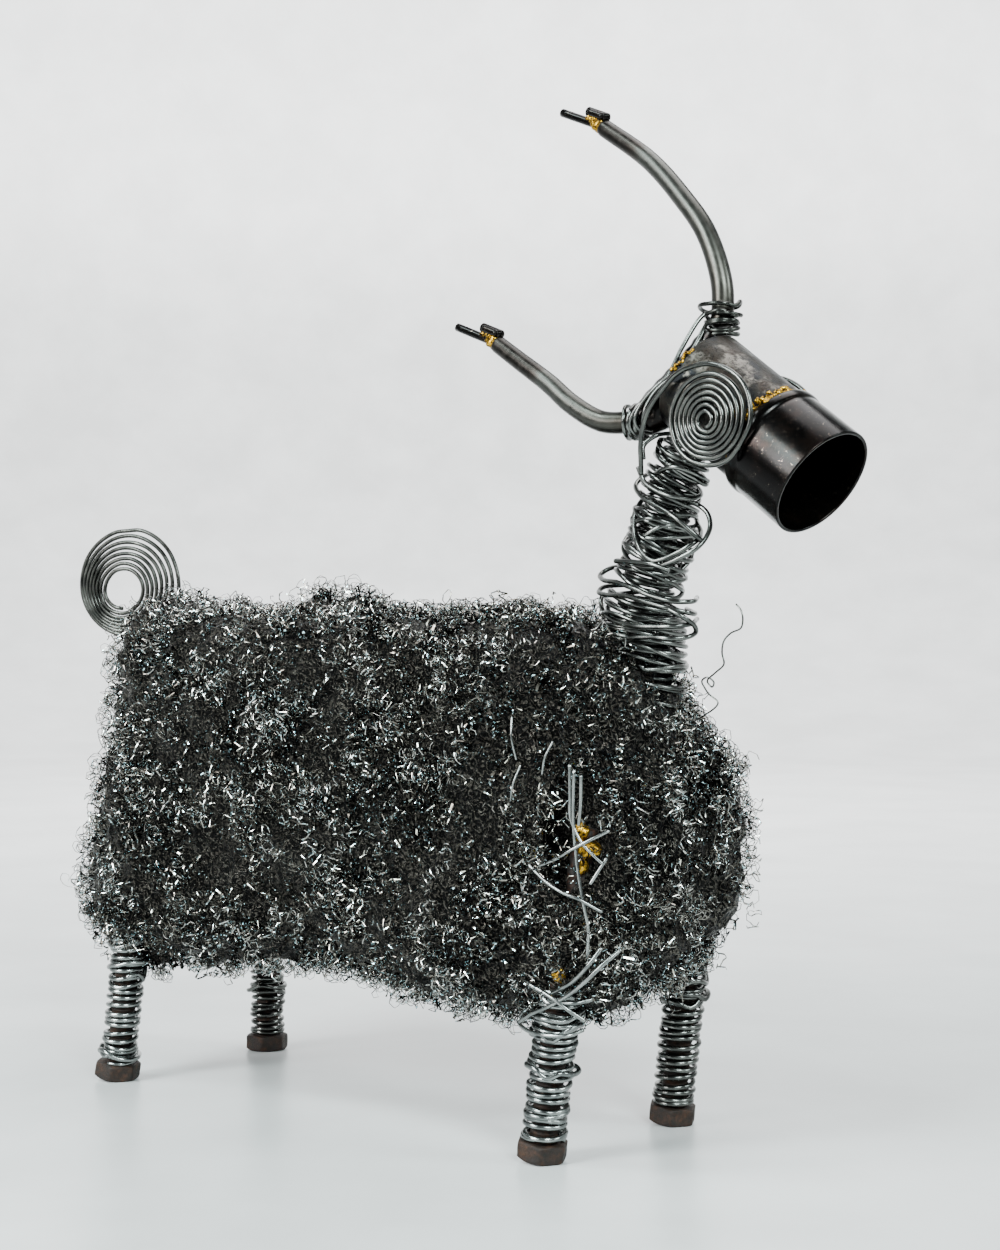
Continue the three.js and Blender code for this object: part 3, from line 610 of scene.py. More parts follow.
# %% Shape of the fleece
FLEECE_HALF = np.array([113.5, 44.0, 58.5])
FLEECE_MIDDLE = np.array([3.5, 0.0, 94.5])
PLAN_POWER = 2.9
SIDE_POWER = 4.7
BUNCHES = np.array([
    [-90, -6, 152, 20, 11], [-18, 0, 152, 14, 6], [14, 0, 152, 22, -8], [-98, -36, 72, 30, 9],
    [-92, -38, 46, 24, 9], [-100, 20, 130, 26, 8], [112, 30, 84, 28, 11], [104, 34, 56, 26, -4],
    [104, 24, 138, 28, -10], [106, -34, 86, 30, 9.5], [98, -38, 52, 26, 7], [84, -38, 44, 28, 2.5],
    [-8, -42, 44, 34, -11], [-30, 42, 96, 34, 3], [40, 42, 70, 30, 3],
])
OPENING_MIDDLE = np.array([107.0, -40.0, 92.0])
OPENING_HALF = np.array([14.0, 8.5, 18.5])
OPENING_BEARING = np.radians(-50)
OPENING_DEPTH = 16.0
DEEP_WOOL = 3.4
TUFT = 31.0
LOCK = 9.0


def on_egg(points):
    """The point of the squared egg along the line from the middle, and the way out there."""
    share = (points - FLEECE_MIDDLE) / FLEECE_HALF
    plan = np.abs(share[..., 0]) ** PLAN_POWER + np.abs(share[..., 1]) ** PLAN_POWER
    total = plan ** (SIDE_POWER / PLAN_POWER) + np.abs(share[..., 2]) ** SIDE_POWER
    share = share * (total ** (-1 / SIDE_POWER))[..., None]
    flat = share * FLEECE_HALF + FLEECE_MIDDLE
    slope_plan = plan[..., None] ** (SIDE_POWER / PLAN_POWER - 1) * np.abs(share) ** (PLAN_POWER - 1)
    slope = np.sign(share) * slope_plan
    slope[..., 2] = np.sign(share[..., 2]) * np.abs(share[..., 2]) ** (SIDE_POWER - 1)
    return flat, unit(slope / FLEECE_HALF)


def bunched(flat):
    """Points of the egg, pushed out by the height of every bunch times exp(-distance squared)."""
    away = np.linalg.norm(flat[..., None, :] - BUNCHES[:, :3], axis=-1) / BUNCHES[:, 3]
    rise = (BUNCHES[:, 4] * np.exp(-(away**2))).sum(axis=-1)
    return flat + unit((flat - FLEECE_MIDDLE) / FLEECE_HALF) * rise[..., None]


def in_opening(points):
    """How deep a point lies in the shoulder opening: 1 in its middle, 0 on its edge, less outside."""
    x, y, z = np.moveaxis(points - OPENING_MIDDLE, -1, 0)
    c, s = np.cos(-OPENING_BEARING), np.sin(-OPENING_BEARING)
    turned = np.stack([c * x - s * y, s * x + c * y, z], axis=-1)
    return 1 - np.linalg.norm(turned / OPENING_HALF, axis=-1)


def lumps(points, size):
    """Smooth lumps about size across, between -1 and 1: products of sines along three slanted lines."""
    w = 2 * np.pi / size
    x, y, z = points[..., 0], points[..., 1], points[..., 2]
    a = np.sin(w * (x + 0.4 * z) + 1.3 * np.sin(w * 0.6 * z + 0.5))
    b = np.sin(w * (z - 0.3 * y) + 1.1 * np.sin(w * 0.7 * x))
    c = np.sin(w * (y + 0.5 * x) + 1.7 * np.sin(w * 0.5 * z + 1.0))
    return (a * b + b * c + c * a) / 2


sphere = ball_ways(88, 240, 0.02)
ball = np.sign(sphere) * np.abs(sphere) ** 0.75
egg, outward = on_egg(FLEECE_MIDDLE + ball * FLEECE_HALF)
skin = bunched(egg)
sinking = DEEP_WOOL - 2.2 * lumps(skin, TUFT) - 1.5 * lumps(skin, LOCK) - 0.8 * lumps(skin, 3.7)
sunk = skin - outward * sinking[..., None]
depth = in_opening(sunk)
inward = unit(FLEECE_MIDDLE * [0.6, 0, 0.9] - OPENING_MIDDLE)
sunk = sunk + inward * (OPENING_DEPTH * np.clip(depth + 0.15, 0, 1) ** 0.7)[..., None]
# Painted shade in the shoulder opening, darkest in its middle.
hollow = np.append(np.clip(1.6 * depth, 0, 1), [0, 0])
put("fleece_deep_wool", closed_grid(sunk), wool_dark, "metal_wool", ["fleece"], hollow=hollow)

# %% [markdown]
# The wool itself is thousands of turns of curled ribbon. Each curl is a helix round a line that crawls
# over the fleece: point = line + radius * (cos(angle) * out + sin(angle) * aside). A ribbon needs only
# three sides, two of them the bright outer edge and one the thin back, so that many fit in the scene.

# %% Curled wool
RIBBON_THICK = 0.14


def coil_ribbons(line, out, coil_radius, turns, width, phase):
    """Helical ribbons round lines of shape curls, steps, 3; three corners for each step."""
    curls, steps = line.shape[:2]
    along = unit(np.gradient(line, axis=1))
    out = unit(out - np.sum(out * along, axis=2, keepdims=True) * along)
    aside = np.cross(along, out)
    t = np.linspace(0, 1, steps)[None]
    angle = (2 * np.pi * turns * t + phase)[..., None]
    radial = np.cos(angle) * out + np.sin(angle) * aside
    centre = line + coil_radius[..., None] * radial
    edge = width[..., None] / 2 * along
    corners = np.stack([centre + edge, centre - edge, centre - RIBBON_THICK * radial], axis=2)
    ends = np.stack([centre[:, 0], centre[:, -1]], axis=1)
    return np.concatenate([corners.reshape(curls, -1, 3), ends], axis=1).reshape(-1, 3)


def cell_edges(grid):
    """Each cell's edge towards the next column and its edge towards the next row."""
    return np.roll(grid, -1, axis=1)[:-1] - grid[:-1], grid[1:] - grid[:-1]


cell_area = np.linalg.norm(np.cross(*cell_edges(skin)), axis=-1)
across_cell, up_cell = cell_edges(egg)
cell_weight = cell_area * np.where(skin[:-1, :, 2] < 40, 0.5, 1.0) * (in_opening(skin[:-1]) < 0.12)


def crawling_lines(rng, curls, steps, length):
    """Lines that start evenly all over the fleece and follow it, bending slowly."""
    total = np.cumsum(cell_weight)
    cell = np.searchsorted(total, (np.arange(curls) + rng.random(curls)) / curls * total[-1])
    row, column = np.divmod(cell, egg.shape[1])
    across, up = rng.random((curls, 1)), rng.random((curls, 1))
    spot = egg[row, column] + across * across_cell[row, column] + up * up_cell[row, column]
    heading = unit(np.cross(on_egg(spot)[1], unit(rng.normal(size=spot.shape))))
    bend = rng.normal(size=(curls, 1)) * 2.4
    line = np.empty((curls, steps, 3))
    outs = np.empty_like(line)
    for step in range(steps):
        flat, outward = on_egg(spot)
        line[:, step] = bunched(flat)
        outs[:, step] = outward
        heading = unit(heading - np.sum(heading * outward, axis=1, keepdims=True) * outward)
        heading = unit(heading + bend / steps * np.cross(outward, heading))
        spot = flat + heading * (length / steps)
    return line, outs


CURL_STEPS = 20
LAYER_KEYS = ("curls", "steps", "turns", "lift", "radius", "width", "shade", "frayed", "uneven")
# The shade ranges rise from the lowest layer to the top one: lower layers are painted darker, as painted
# shade under the curls above.
LAYERS = [
    (205, 78, 18, (-2.6, -0.6), (0.8, 1.5), (0.6, 0.95), (0.0, 0.2), 0.0, 0.45),
    (205, 84, 18, (-1.8, 0.2), (0.8, 1.6), (0.45, 0.75), (0.0, 0.3), 0.1, 0.45),
    (205, 100, 16, (-1.0, 0.8), (0.9, 2.0), (0.3, 0.5), (0.1, 0.6), 0.3, 0.4),
    (205, 110, 14, (-0.6, 1.2), (1.1, 2.3), (0.28, 0.45), (0.2, 0.8), 0.4, 0.2),
    (205, 110, 12, (-0.4, 1.8), (1.2, 2.6), (0.26, 0.42), (0.3, 0.9), 0.5, 0.15),
    (34, 200, 26, (0.2, 1.4), (1.3, 1.9), (0.2, 0.28), (0.4, 0.9), 0.0, 0.04),
]
ribbons_made = 0
for number, values in enumerate(LAYERS):
    layer = dict(zip(LAYER_KEYS, values))
    rng = np.random.default_rng(21 + number)
    curls, steps, uneven = layer["curls"], layer["steps"], layer["uneven"]
    each = lambda low, high: rng.uniform(low, high, (curls, 1))
    coarse, outs = crawling_lines(rng, curls, CURL_STEPS, each(0.5, 1.25) * 32)
    t = np.linspace(0, CURL_STEPS - 1, steps)
    i = np.minimum(t.astype(int), CURL_STEPS - 2)
    u = (t - i)[None, :, None]
    line = coarse[:, i] * (1 - u) + coarse[:, i + 1] * u
    out = unit(outs[:, i] * (1 - u) + outs[:, i + 1] * u)
    share = np.linspace(0, 1, steps)[None]
    wave = lambda low, high: np.sin(2 * np.pi * (each(low, high) * share + each(0, 1)))
    lift = each(*layer["lift"]) + 2.2 * lumps(line, TUFT) + 0.8 * lumps(line, LOCK) + 0.7 * wave(3, 8)
    frayed = each(0, 1) < layer["frayed"]
    lift = lift + frayed * each(1.5, 4.5) * np.clip(share - 0.75, 0, 1) * 4
    weave = np.cross(unit(np.gradient(line, axis=1)), out)
    sway = each(0.6, 2.6) * wave(1, 4) + 2 * uneven * wave(5, 11)
    line = line + out * lift[..., None] + weave * sway[..., None]
    line = line + rng.normal(size=line.shape) * (uneven * each(0.2, 1.0))[..., None]
    wobble = 1 + 0.45 * uneven * rng.uniform(-1, 1, line.shape[:2])
    radius = each(*layer["radius"]) * (1 + 0.3 * wave(2, 7)) * wobble
    width = each(*layer["width"]) * np.ones((1, steps))
    many = layer["turns"] * each(0.8, 1.0)
    points = coil_ribbons(line, out, radius, many, width, each(0, 6))
    shade = np.repeat(each(*layer["shade"]), steps * 3 + 2)
    ribbons_made += int(many.sum())
    body = (points, tube_faces(curls, steps, 3))
    put(f"fleece_curls_{number + 1}", body, wool_metal, "metal_wool", smooth=False, shade=shade)
print("turns of curled wool:", ribbons_made)

# %% [markdown]
# The two left legs stand a little outside the fleece, so a wad of wool closes the top of each. A wad is
# the same ribbon, but its line winds round the leg, climbs, and draws in over the end of the bolt.

# %% Wool on the left legs
WAD_STEPS = 900
WAD_FOOT = 47.0
WAD_RISE = 8.0
WAD_RADIUS = 6.4
WAD_CURLS = 110.0
for name in ("front_left", "rear_left"):
    rng = np.random.default_rng(len(name))
    foot, across, aside, axis = leg_frame(LEGS[name])
    t = np.linspace(0, 1, WAD_STEPS)[None, :, None]
    closing = np.clip((t - 0.6) / 0.4, 0, 1)
    angle = 2 * np.pi * (8 * t + np.array([0.0, 0.5])[:, None, None]) + 0.4 * np.sin(60 * t)
    around = np.cos(angle) * across + np.sin(angle) * aside
    reach = WAD_RADIUS * (1 - 0.9 * closing) + 0.7 * np.sin(47 * t)
    line = foot + (WAD_FOOT + WAD_RISE * np.minimum(t / 0.6, 1) + 2 * closing) * axis + reach * around
    line = line + 0.25 * rng.normal(size=line.shape)
    radius = 1.7 + 0.4 * np.sin(23 * t[..., 0]) + rng.uniform(-0.2, 0.2, line.shape[:2])
    width = np.full(line.shape[:2], 0.4)
    turns = np.full((2, 1), WAD_CURLS)
    points = coil_ribbons(line, unit((1 - closing) * around + closing * axis), radius, turns, width, 0.0)
    shade = np.full(len(points), 0.35)
    body = (points, tube_faces(2, WAD_STEPS, 3))
    put("leg_wool_" + name, body, wool_metal, "metal_wool", smooth=False, shade=shade)

# %% [markdown]
# In the gap over the right front leg a dark rusted post shows, with two beads of brass on it and one
# below. It is turned from a profile, with a slow unevenness, like an old bolt.

# %% Shoulder post and its brass
POST_RADIUS = 3.5
post_foot = leg_frame(LEGS["front_right"])
post_start = post_foot[0] + post_foot[3] * (LEG_LENGTH + 0.6)
post_end = np.array([103.6, -30.3, 92.0])
post_axis = unit(post_end - post_start)
post_across = unit(np.cross([0.0, 1.0, 0.0], post_axis))
post_frame = (post_start, post_across, np.cross(post_axis, post_across), post_axis)
length = np.linalg.norm(post_end - post_start)
angle = circle(28)[None]
rise = np.r_[0, np.linspace(0, length, 60), length][:, None]
worn = 0.18 * np.sin(2.1 * rise + 2 * angle) + 0.12 * np.sin(0.9 * rise - 3 * angle)
radius = np.where((rise <= 0) | (rise >= length), POST_RADIUS - 0.5, POST_RADIUS - 0.1) + worn
post_body = lathe(post_frame, radius, rise, angle)
put("post_in_shoulder", post_body, post_rust, "rusted_bolt", ["shoulder_post"])


def bead(middle, sizes, seed, rough=0.18, rows=22, columns=32):
    """A drop of frozen metal: a sphere whose radius swells and dips with the direction."""
    ways = ball_ways(rows, columns, 0.05)
    swell = 1 + rough * lumps(ways + seed, 1.9) + 0.4 * rough * lumps(ways - seed, 0.8)
    return closed_grid(np.asarray(middle) + ways * swell[..., None] * np.asarray(sizes) / 2)


upper = joined(
    bead([104.3, -34.4, 91.0], [4.2, 4.2, 5.6], 1.0),
    bead([107.2, -34.4, 86.6], [5.8, 5.2, 4.8], 2.0),
    bead([104.8, -33.6, 82.2], [2.6, 3.0, 5.0], 3.0),
)
put("brass_beads_upper", upper, braze_brass, "brazing_brass", ["shoulder_braze_upper"])
lower = bead([99.2, -37.0, 53.0], [3.6, 4.0, 6.4], 4.0)
put("brass_bead_lower", lower, braze_brass, "brazing_brass", ["shoulder_braze_lower"])

# %% [markdown]
# A few straight wires cross the gap and tie the top of the leg. They are drawn through points that were
# read off the photograph, each pushed out until it lies on the wool.

# %% Shoulder wires
SHOULDER_WIRES = {
    "long": [
        [107.7, -43.5, 109.7], [107.6, -43.2, 100.9], [107.5, -42.8, 95.6], [110.6, -42, 89.2],
        [116.1, -40, 83.7],
    ],
    "double": [
        [109.3, -43.6, 108.4], [108.5, -43, 98.8], [108.4, -42.6, 92.2], [108.6, -42, 85.9],
        [109.4, -41.6, 79.3], [110.3, -41, 73.1], [111, -39.8, 66.4], [109.3, -38, 58.6],
    ],
    "double_short": [[111.1, -43, 106.9], [110.6, -42.6, 99], [109.8, -42.4, 93.7]],
    "cross": [
        [98, -44.4, 82.4], [103.8, -44.2, 84.7], [108.3, -43.6, 87.3], [112.9, -41.6, 89.9],
        [116.5, -38, 92.4],
    ],
    "lower": [
        [95, -45, 82.6], [101, -44.6, 78.2], [106.3, -43.8, 75.6], [109.8, -42.8, 74.5],
        [115, -39, 71],
    ],
    "small": [[112.6, -41, 78.4], [116.2, -38.6, 85.2]],
    "upper_a": [[90.8, -47, 122], [91.5, -48, 116.4], [92, -46.6, 110.6]],
    "upper_b": [[93, -46, 109], [91.7, -47.6, 104.1], [90, -46.6, 99.4]],
    "upper_c": [[102.4, -44, 115.6], [100.8, -45.4, 111.3], [99.2, -44.6, 106.8]],
    "leg_a": [
        [85.8, -37.6, 38.8], [91.2, -39.4, 41.6], [98.3, -40.5, 44.7], [104.1, -40.5, 47.9],
        [109.2, -40.2, 51.6], [114, -38.6, 56.4], [117.3, -34, 60.9],
    ],
    "leg_b": [
        [96.4, -37.6, 47.4], [102.3, -40, 49.8], [106.5, -40.6, 52.2], [111.6, -40.6, 56.9],
        [114, -38, 61.4],
    ],
    "leg_c": [
        [92.1, -41.4, 50], [97, -41.4, 48.4], [101.4, -41, 46.4], [104.7, -39.6, 43.9],
        [107.1, -36.4, 41.2],
    ],
    "leg_d": [[96.7, -39, 45.9], [101.7, -40, 46], [106.1, -39.4, 46.2], [109, -35.6, 47]],
    "leg_e": [
        [86, -35, 42.4], [84.1, -36, 38.6], [88.1, -38, 37], [95.7, -39.6, 36.6], [102.1, -37.4, 36.8],
        [104, -33, 38],
    ],
}
thickness = {"leg": 0.58, "upper": 0.28}
wires = []
for name, path in SHOULDER_WIRES.items():
    wires.append(tubes(smooth_path(path, 40), thickness.get(name.split("_")[0], 0.46)))
stands_for = ["shoulder_wire_" + part for part in ("long", "cross", "lower", "leg")]
put("shoulder_wires", joined(*wires), wire_clean, "galvanised_wire", stands_for)

# %% [markdown]
# The neck is one long wire wound round itself. Underneath lies an even, close coil. Over it go looser
# turns that slope up and down and leave gaps. Both are helices round the bent axis of the neck.

# %% Neck
NECK_PATH = [
    [99.5, 0, 124], [99.5, 0, 140], [101.5, 0, 158], [105.6, 0, 169.5], [108.4, 0, 180],
    [111.5, 0, 189], [116, 0, 198],
]
LEAN_WAY = np.array([0.764, 0.645, 0.0])
neck_axis = smooth_path(NECK_PATH, 200)
neck_length = np.linalg.norm(np.diff(neck_axis, axis=0), axis=1).sum()


def wound_round(
    axis_points, heights, radii, turns, rng, tilt=1.0, ripple=0.4, per_turn=26, waves=8, phase=0.0, lean=0.0
):
    """A helix round a bent axis. heights, in shares of the axis, and radii are read evenly along the wire.
    lean, in millimetres, lowers each turn where it faces LEAN_WAY and lifts it on the other side."""
    steps = int(abs(turns) * per_turn)
    t = np.linspace(0, 1, steps)
    angle = 2 * np.pi * turns * t + phase
    length = np.linalg.norm(np.diff(axis_points, axis=0), axis=1).sum()
    share = evenly(t, heights)
    slope = tilt * (0.5 + np.abs(wander(rng, steps, waves, 0.5)))
    slant = slope * np.sin(angle + wander(rng, steps, waves, 2.0))
    share = share + (slant + wander(rng, steps, waves, 0.4)) / length
    _, normals, binormals = (part[0] for part in frames_along(axis_points[None]))
    rows = np.arange(len(axis_points))

    def round_axis(share):
        place = np.clip(share, 0, 1) * (len(axis_points) - 1)
        at = lambda table: np.stack([np.interp(place, rows, table[:, k]) for k in range(3)], axis=1)
        return at(axis_points), round_the(angle, at(normals), at(binormals))

    share = share - lean * (round_axis(share)[1] @ LEAN_WAY) / length
    centre, around = round_axis(share)
    radius = evenly(t, radii) + np.abs(wander(rng, steps, 3 * waves, ripple))
    return centre + radius[:, None] * around


rng = np.random.default_rng(31)
NECK_WIRE = 0.7
inner_radii = [9.4, 8.6, 7.4, 6.4, 6.2, 6.0, 5.4]
inner = wound_round(neck_axis, [0, 1], inner_radii, neck_length / 2.1, rng, 0.5, 0.3, 26, 9, 0, 0.6)
neck_wires = [tubes(inner, NECK_WIRE, 8)]
OVER_WRAPS = [
    ([0.0, 0.2, 0.36], [11.6, 11.4, 10.8], 8, 1.0, 0.2, 2.6),
    ([0.06, 0.3, 0.12], [12.2, 11.4, 12.4], 7, 2.0, 2.0, 1.6),
    ([0.3, 0.5, 0.62], [10.4, 9.4, 9.0], 7, 2.0, 1.0, 2.0),
    ([0.46, 0.72, 0.6], [9.2, 8.6, 8.8], 6, 3.0, 4.0, 0.0),
    ([0.66, 0.8, 0.94], [8.4, 7.8, 7.4], 7, 1.2, 5.0, 2.4),
]
for heights, radii, turns, tilt, phase, lean in OVER_WRAPS:
    over = wound_round(neck_axis, heights, radii, turns, rng, tilt, 0.5, 26, 3, phase, lean)
    neck_wires.append(tubes(over, NECK_WIRE, 8))
LOOSE_LOOPS = [
    [
        [106.4, -11.5, 190.2], [108.1, -11, 186.2], [111.4, -10.5, 183.7], [116.6, -10, 181.7],
        [120.4, -7, 181.1], [120.5, -2, 182.1], [114.6, 5, 185.2], [107.3, 8, 188.6],
    ],
    [
        [100.2, 8, 182.8], [107.5, 4, 181.8], [116.5, -2, 180.7], [121, -3, 179.3], [123.7, -3, 177.1],
        [125.3, -4, 173.7], [125.8, -7, 170.1], [124.4, -9.5, 167.2], [121.2, -11, 165.2],
        [116.8, -12, 163.4], [111.2, -12, 162.4], [104.6, -10, 163.2], [99.1, -7, 165.8],
        [95.8, -4, 169], [94.6, 0, 172], [95.4, 6, 174.6], [101.2, 9, 175.9],
    ],
    [
        [105.5, 8, 186.5], [102.4, 5, 184.9], [101.1, 0, 182.9], [101.9, -5, 180.2],
        [102.7, -8, 175.9], [105.3, -11, 170.7], [108.1, -12, 166.6], [111.8, -12.5, 164.2],
        [115.7, -12, 164.7], [119.2, -11, 166.2], [122.1, -10, 167.8], [123.7, -8, 169.5],
        [120.8, -2, 172], [115.3, 4, 175.2],
    ],
    [
        [99.1, 4, 189.8], [99.9, -2, 187.5], [100.8, -5, 185.5], [105.7, -9, 182.3],
        [111.8, -11, 179.5], [118.5, -12, 176.2], [122.8, -11, 172.7], [125.2, -9, 169.9],
        [124.1, -6, 169],
    ],
    [
        [100.2, 8, 164.3], [92.4, 4, 163.7], [88.9, -1, 162.9], [87.7, -4, 161.1], [91.7, -8, 159.4],
        [99.3, -11.5, 158.5], [106.3, -13, 156.5], [112.1, -13, 154.5], [118.5, -12, 153],
        [122, -8, 153], [118.1, 0, 154.2],
    ],
    [
        [102.1, 9, 160], [90.6, 4, 158.3], [87.4, -2, 157.6], [87.8, -5, 156.2], [94.1, -9, 155.1],
        [102.5, -12, 154.7], [110.2, -13.5, 152.9], [117.1, -13, 151.3], [121.7, -10, 150],
        [120.9, -5, 149.7], [111.8, 4, 151.2],
    ],
    [
        [94.8, 8, 156.5], [88.3, 1, 155.4], [88.1, -4, 154.6], [89.5, -6, 152], [93.5, -9, 149.4],
        [99.5, -12, 147.4], [106.2, -14, 146.4], [113.1, -14, 146.1], [119.2, -13, 146.2],
        [121.9, -9, 146.8], [118.1, 0, 148.3],
    ],
    [
        [117.9, -13, 150.8], [121.8, -12, 148.8], [122.8, -8, 146.4], [121.9, -6, 144.7],
        [121.9, -10, 143.3], [118.3, -13.5, 142.9], [111.8, -14, 143.3], [104.9, -14, 142.8],
        [99, -12, 140.9], [90, -6, 139.4],
    ],
    [[117.2, -12, 161.5], [112, -13, 163.2], [104.3, -12, 164.1], [97.5, -10, 164.5]],
    [
        [108.9, -4, 198.4], [109, -6, 194.7], [111.8, -8, 192], [116.4, -8.5, 189.8], [121.3, -7, 187],
        [122.7, -3, 185.1], [119.4, 3, 186.3],
    ],
    [
        [107, -6, 187.8], [112.5, -9, 189.1], [117.1, -9.5, 189.7], [120.3, -8, 188.8],
        [122.8, -5, 187.1], [121.7, 0, 186.2],
    ],
]
for path in LOOSE_LOOPS:
    neck_wires.append(tubes(smooth_path(path, 12 * len(path)), NECK_WIRE, 10))
put("neck_wire", joined(*neck_wires), wire_bright, "galvanised_wire", ["neck_winding"])

# %% [markdown]
# The head is turned from profiles, like the pipe and the collar it is made of. The skull has rounded
# rims and is a little out of round from the hammer, and its open end slides over the narrow tail of the
# muzzle as far as the joint. The muzzle's profile goes up the outside, over the rim, and back down the
# inside to its floor, so the cup is one closed surface.

# %% Skull and muzzle
SKULL_REAR = np.array([118.5, 0.8, 214.0])
HEAD_DIP = np.radians(36.7)
HEAD_TURN = np.radians(-2.5)
MUZZLE_BACK = 21.8
JOINT = 29.0
MUZZLE_RIM = 50.5
head_axis = np.array(
    [np.cos(HEAD_DIP) * np.cos(HEAD_TURN), np.cos(HEAD_DIP) * np.sin(HEAD_TURN), -np.sin(HEAD_DIP)]
)
head_across = unit(np.cross([0.0, 1.0, 0.0], head_axis))
head_frame = (SKULL_REAR, head_across, np.cross(head_axis, head_across), head_axis)


def turned(axis_frame, profile, columns, uneven=0.0, seed=0.0):
    """A profile of [height, radius] pairs turned round the axis, with slow dents of so many millimetres."""
    profile = np.asarray(profile, float)
    angle, height = circle(columns)[None], profile[:, :1]
    slow = np.sin(2 * angle + 0.13 * height + seed)
    dents = uneven * (slow + 0.5 * np.sin(5 * angle - 0.4 * height + 2 * seed)) / 1.5
    radius = profile[:, 1:] + dents * np.minimum(profile[:, 1:] / 10, 1)
    return lathe(axis_frame, radius, height, angle)


def rounded(points, radius=0.5, steps=5):
    """A profile with each inner corner cut by a short curve: a blend of the two legs of the corner."""
    points = np.asarray(points, float)
    before, corner, after = points[:-2], points[1:-1], points[2:]
    legs = [np.linalg.norm(end - corner, axis=1) for end in (before, after)]
    cut = np.minimum(radius, 0.45 * np.minimum(*legs))
    start = corner + unit(before - corner) * cut[:, None]
    end = corner + unit(after - corner) * cut[:, None]
    u = np.linspace(0, 1, steps)[None, :, None]
    curve = (1 - u) ** 2 * start[:, None] + 2 * u * (1 - u) * corner[:, None] + u**2 * end[:, None]
    return np.concatenate([points[:1], curve.reshape(-1, 2), points[-1:]])


skull_profile = rounded(
    [
        [0, 0.5], [0, 14.4], [0.6, 15.0], [8, 14.9], [16, 14.95],
        [JOINT - 0.2, 15.0], [JOINT - 0.2, 14.7], [21.5, 14.7], [21.4, 0.5],
    ],
    0.6,
)
skull = turned(head_frame, skull_profile, 128, 0.08, 1.0)
put("skull", skull, heated_pipe, "heated_pipe", ["skull_pipe"])
muzzle_profile = rounded(
    [
        [MUZZLE_BACK, 0.5],
        [MUZZLE_BACK, 14.3],
        [MUZZLE_BACK + 0.4, 14.6],
        [JOINT, 14.6],
        [JOINT + 0.2, 15.4],
        [JOINT + 0.9, 16.2],
        [JOINT + 2.2, 16.4],
        [JOINT + 3.4, 16.3],
        [JOINT + 4.2, 15.85],
        [JOINT + 5.4, 15.95],
        [40, 16.0],
        [MUZZLE_RIM, 16.0],
        [MUZZLE_RIM, 15.0],
        [42, 14.9],
        [JOINT + 3.0, 14.9],
        [JOINT + 1.6, 14.1],
        [24.2, 14.1],
        [23.8, 0.5],
    ],
    0.5,
)
muzzle = turned(head_frame, muzzle_profile, 144, 0.05, 2.0)
put("muzzle", muzzle, black_steel, "blackened_steel", ["muzzle_collar"])

# %% [markdown]
# Brass was melted into the joint between skull and muzzle. It froze on one side as a ragged line, thick
# in one place and nearly gone in the next. So the section of the ring swells and shrinks at random
# there, and small drops lie over it. A short line of drops also lies on the rear rim of the skull.

# %% Brass in the joint
BRASS_FROM, BRASS_TO = np.radians([188, 262])


def drops_round_head(rng, angles, heights, radii, sizes, seed_step):
    """A drop at each angle round the head, its height, radius and sizes drawn between two limits."""
    drops = []
    for number, angle in enumerate(angles):
        height, radius = rng.uniform(*heights), rng.uniform(*radii)
        middle = SKULL_REAR + head_axis * height + radius * round_the(angle, *head_frame[1:3])
        drops.append(bead(middle, rng.uniform(*sizes, 3), seed_step * number, 0.35, 8, 12))
    return drops


rng = np.random.default_rng(5)
ragged = 0.3 + wander(rng, 180, 9, 0.45) + wander(rng, 180, 23, 0.4)
way_round = np.linspace(0, 2 * np.pi, 180)
ragged = np.where((way_round > BRASS_FROM) & (way_round < BRASS_TO), ragged, 0.0)
ring = SKULL_REAR + (JOINT - 0.2 + 0.2 * ragged)[:, None] * head_axis
ring = ring + 15.1 * round_the(way_round, *head_frame[1:3])
brass_ring = tubes(ring, np.clip(ragged, 0.05, 1.2))
ring_angle = np.radians(np.append(rng.uniform(192, 262, 44), rng.uniform(95, 192, 8)))
smears = drops_round_head(rng, ring_angle, [JOINT - 1.4, JOINT + 1.6], [15.2, 15.9], [0.4, 2.0], 0.37)
put("brass_joint", joined(brass_ring, *smears), braze_brass, "brazing_brass", ["muzzle_braze"])
rim_angle = np.radians(np.linspace(232, 262, 12))
rim_drops = drops_round_head(rng, rim_angle, [0.2, 1.6], [14.8, 15.3], [0.6, 1.5], 0.51)
put("brass_rear_rim", joined(*rim_drops), braze_brass, "brazing_brass")

# %% [markdown]
# The yoke is a dark bar that lies slantwise over the back of the skull. The horns are steel rods bent
# cold into long curves. Each tapers a little to its end, where the flame has blackened it; the mesh
# carries how far along each point lies, so that the colour can change at the right place.

# %% Yoke and horns
YOKE_PATH = [
    [122.2, 3, 226.6], [118.6, 1.2, 221.6], [114.6, -0.4, 216.8], [110.4, -2, 211.2],
    [107, -3.2, 206.2], [103.4, -5.2, 203.4],
]
YOKE_RADII = [4.1, 4.0, 4.0, 4.7, 6.0, 4.8]
HORN_PATHS = {
    "left": [
        [123.5, 4.4, 229], [123.2, 4.8, 240.7], [117.5, 5.6, 255.6], [108.6, 6.2, 267.2],
        [97, 6.9, 279.1], [79.5, 7.8, 291.6],
    ],
    "right": [
        [101.3, -6, 203.2], [90, -6.4, 204.2], [79.2, -6.4, 209.8], [70.7, -6.3, 216.4],
        [59.4, -6.2, 224], [50.9, -6, 229.7],
    ],
}
DARK_FROM = {"left": 0.79, "right": 0.66}
yoke_path = smooth_path(YOKE_PATH, 60)
yoke_radii = evenly(np.linspace(0, 1, 60), YOKE_RADII) + 0.12 * np.sin(np.arange(60) * 0.9)
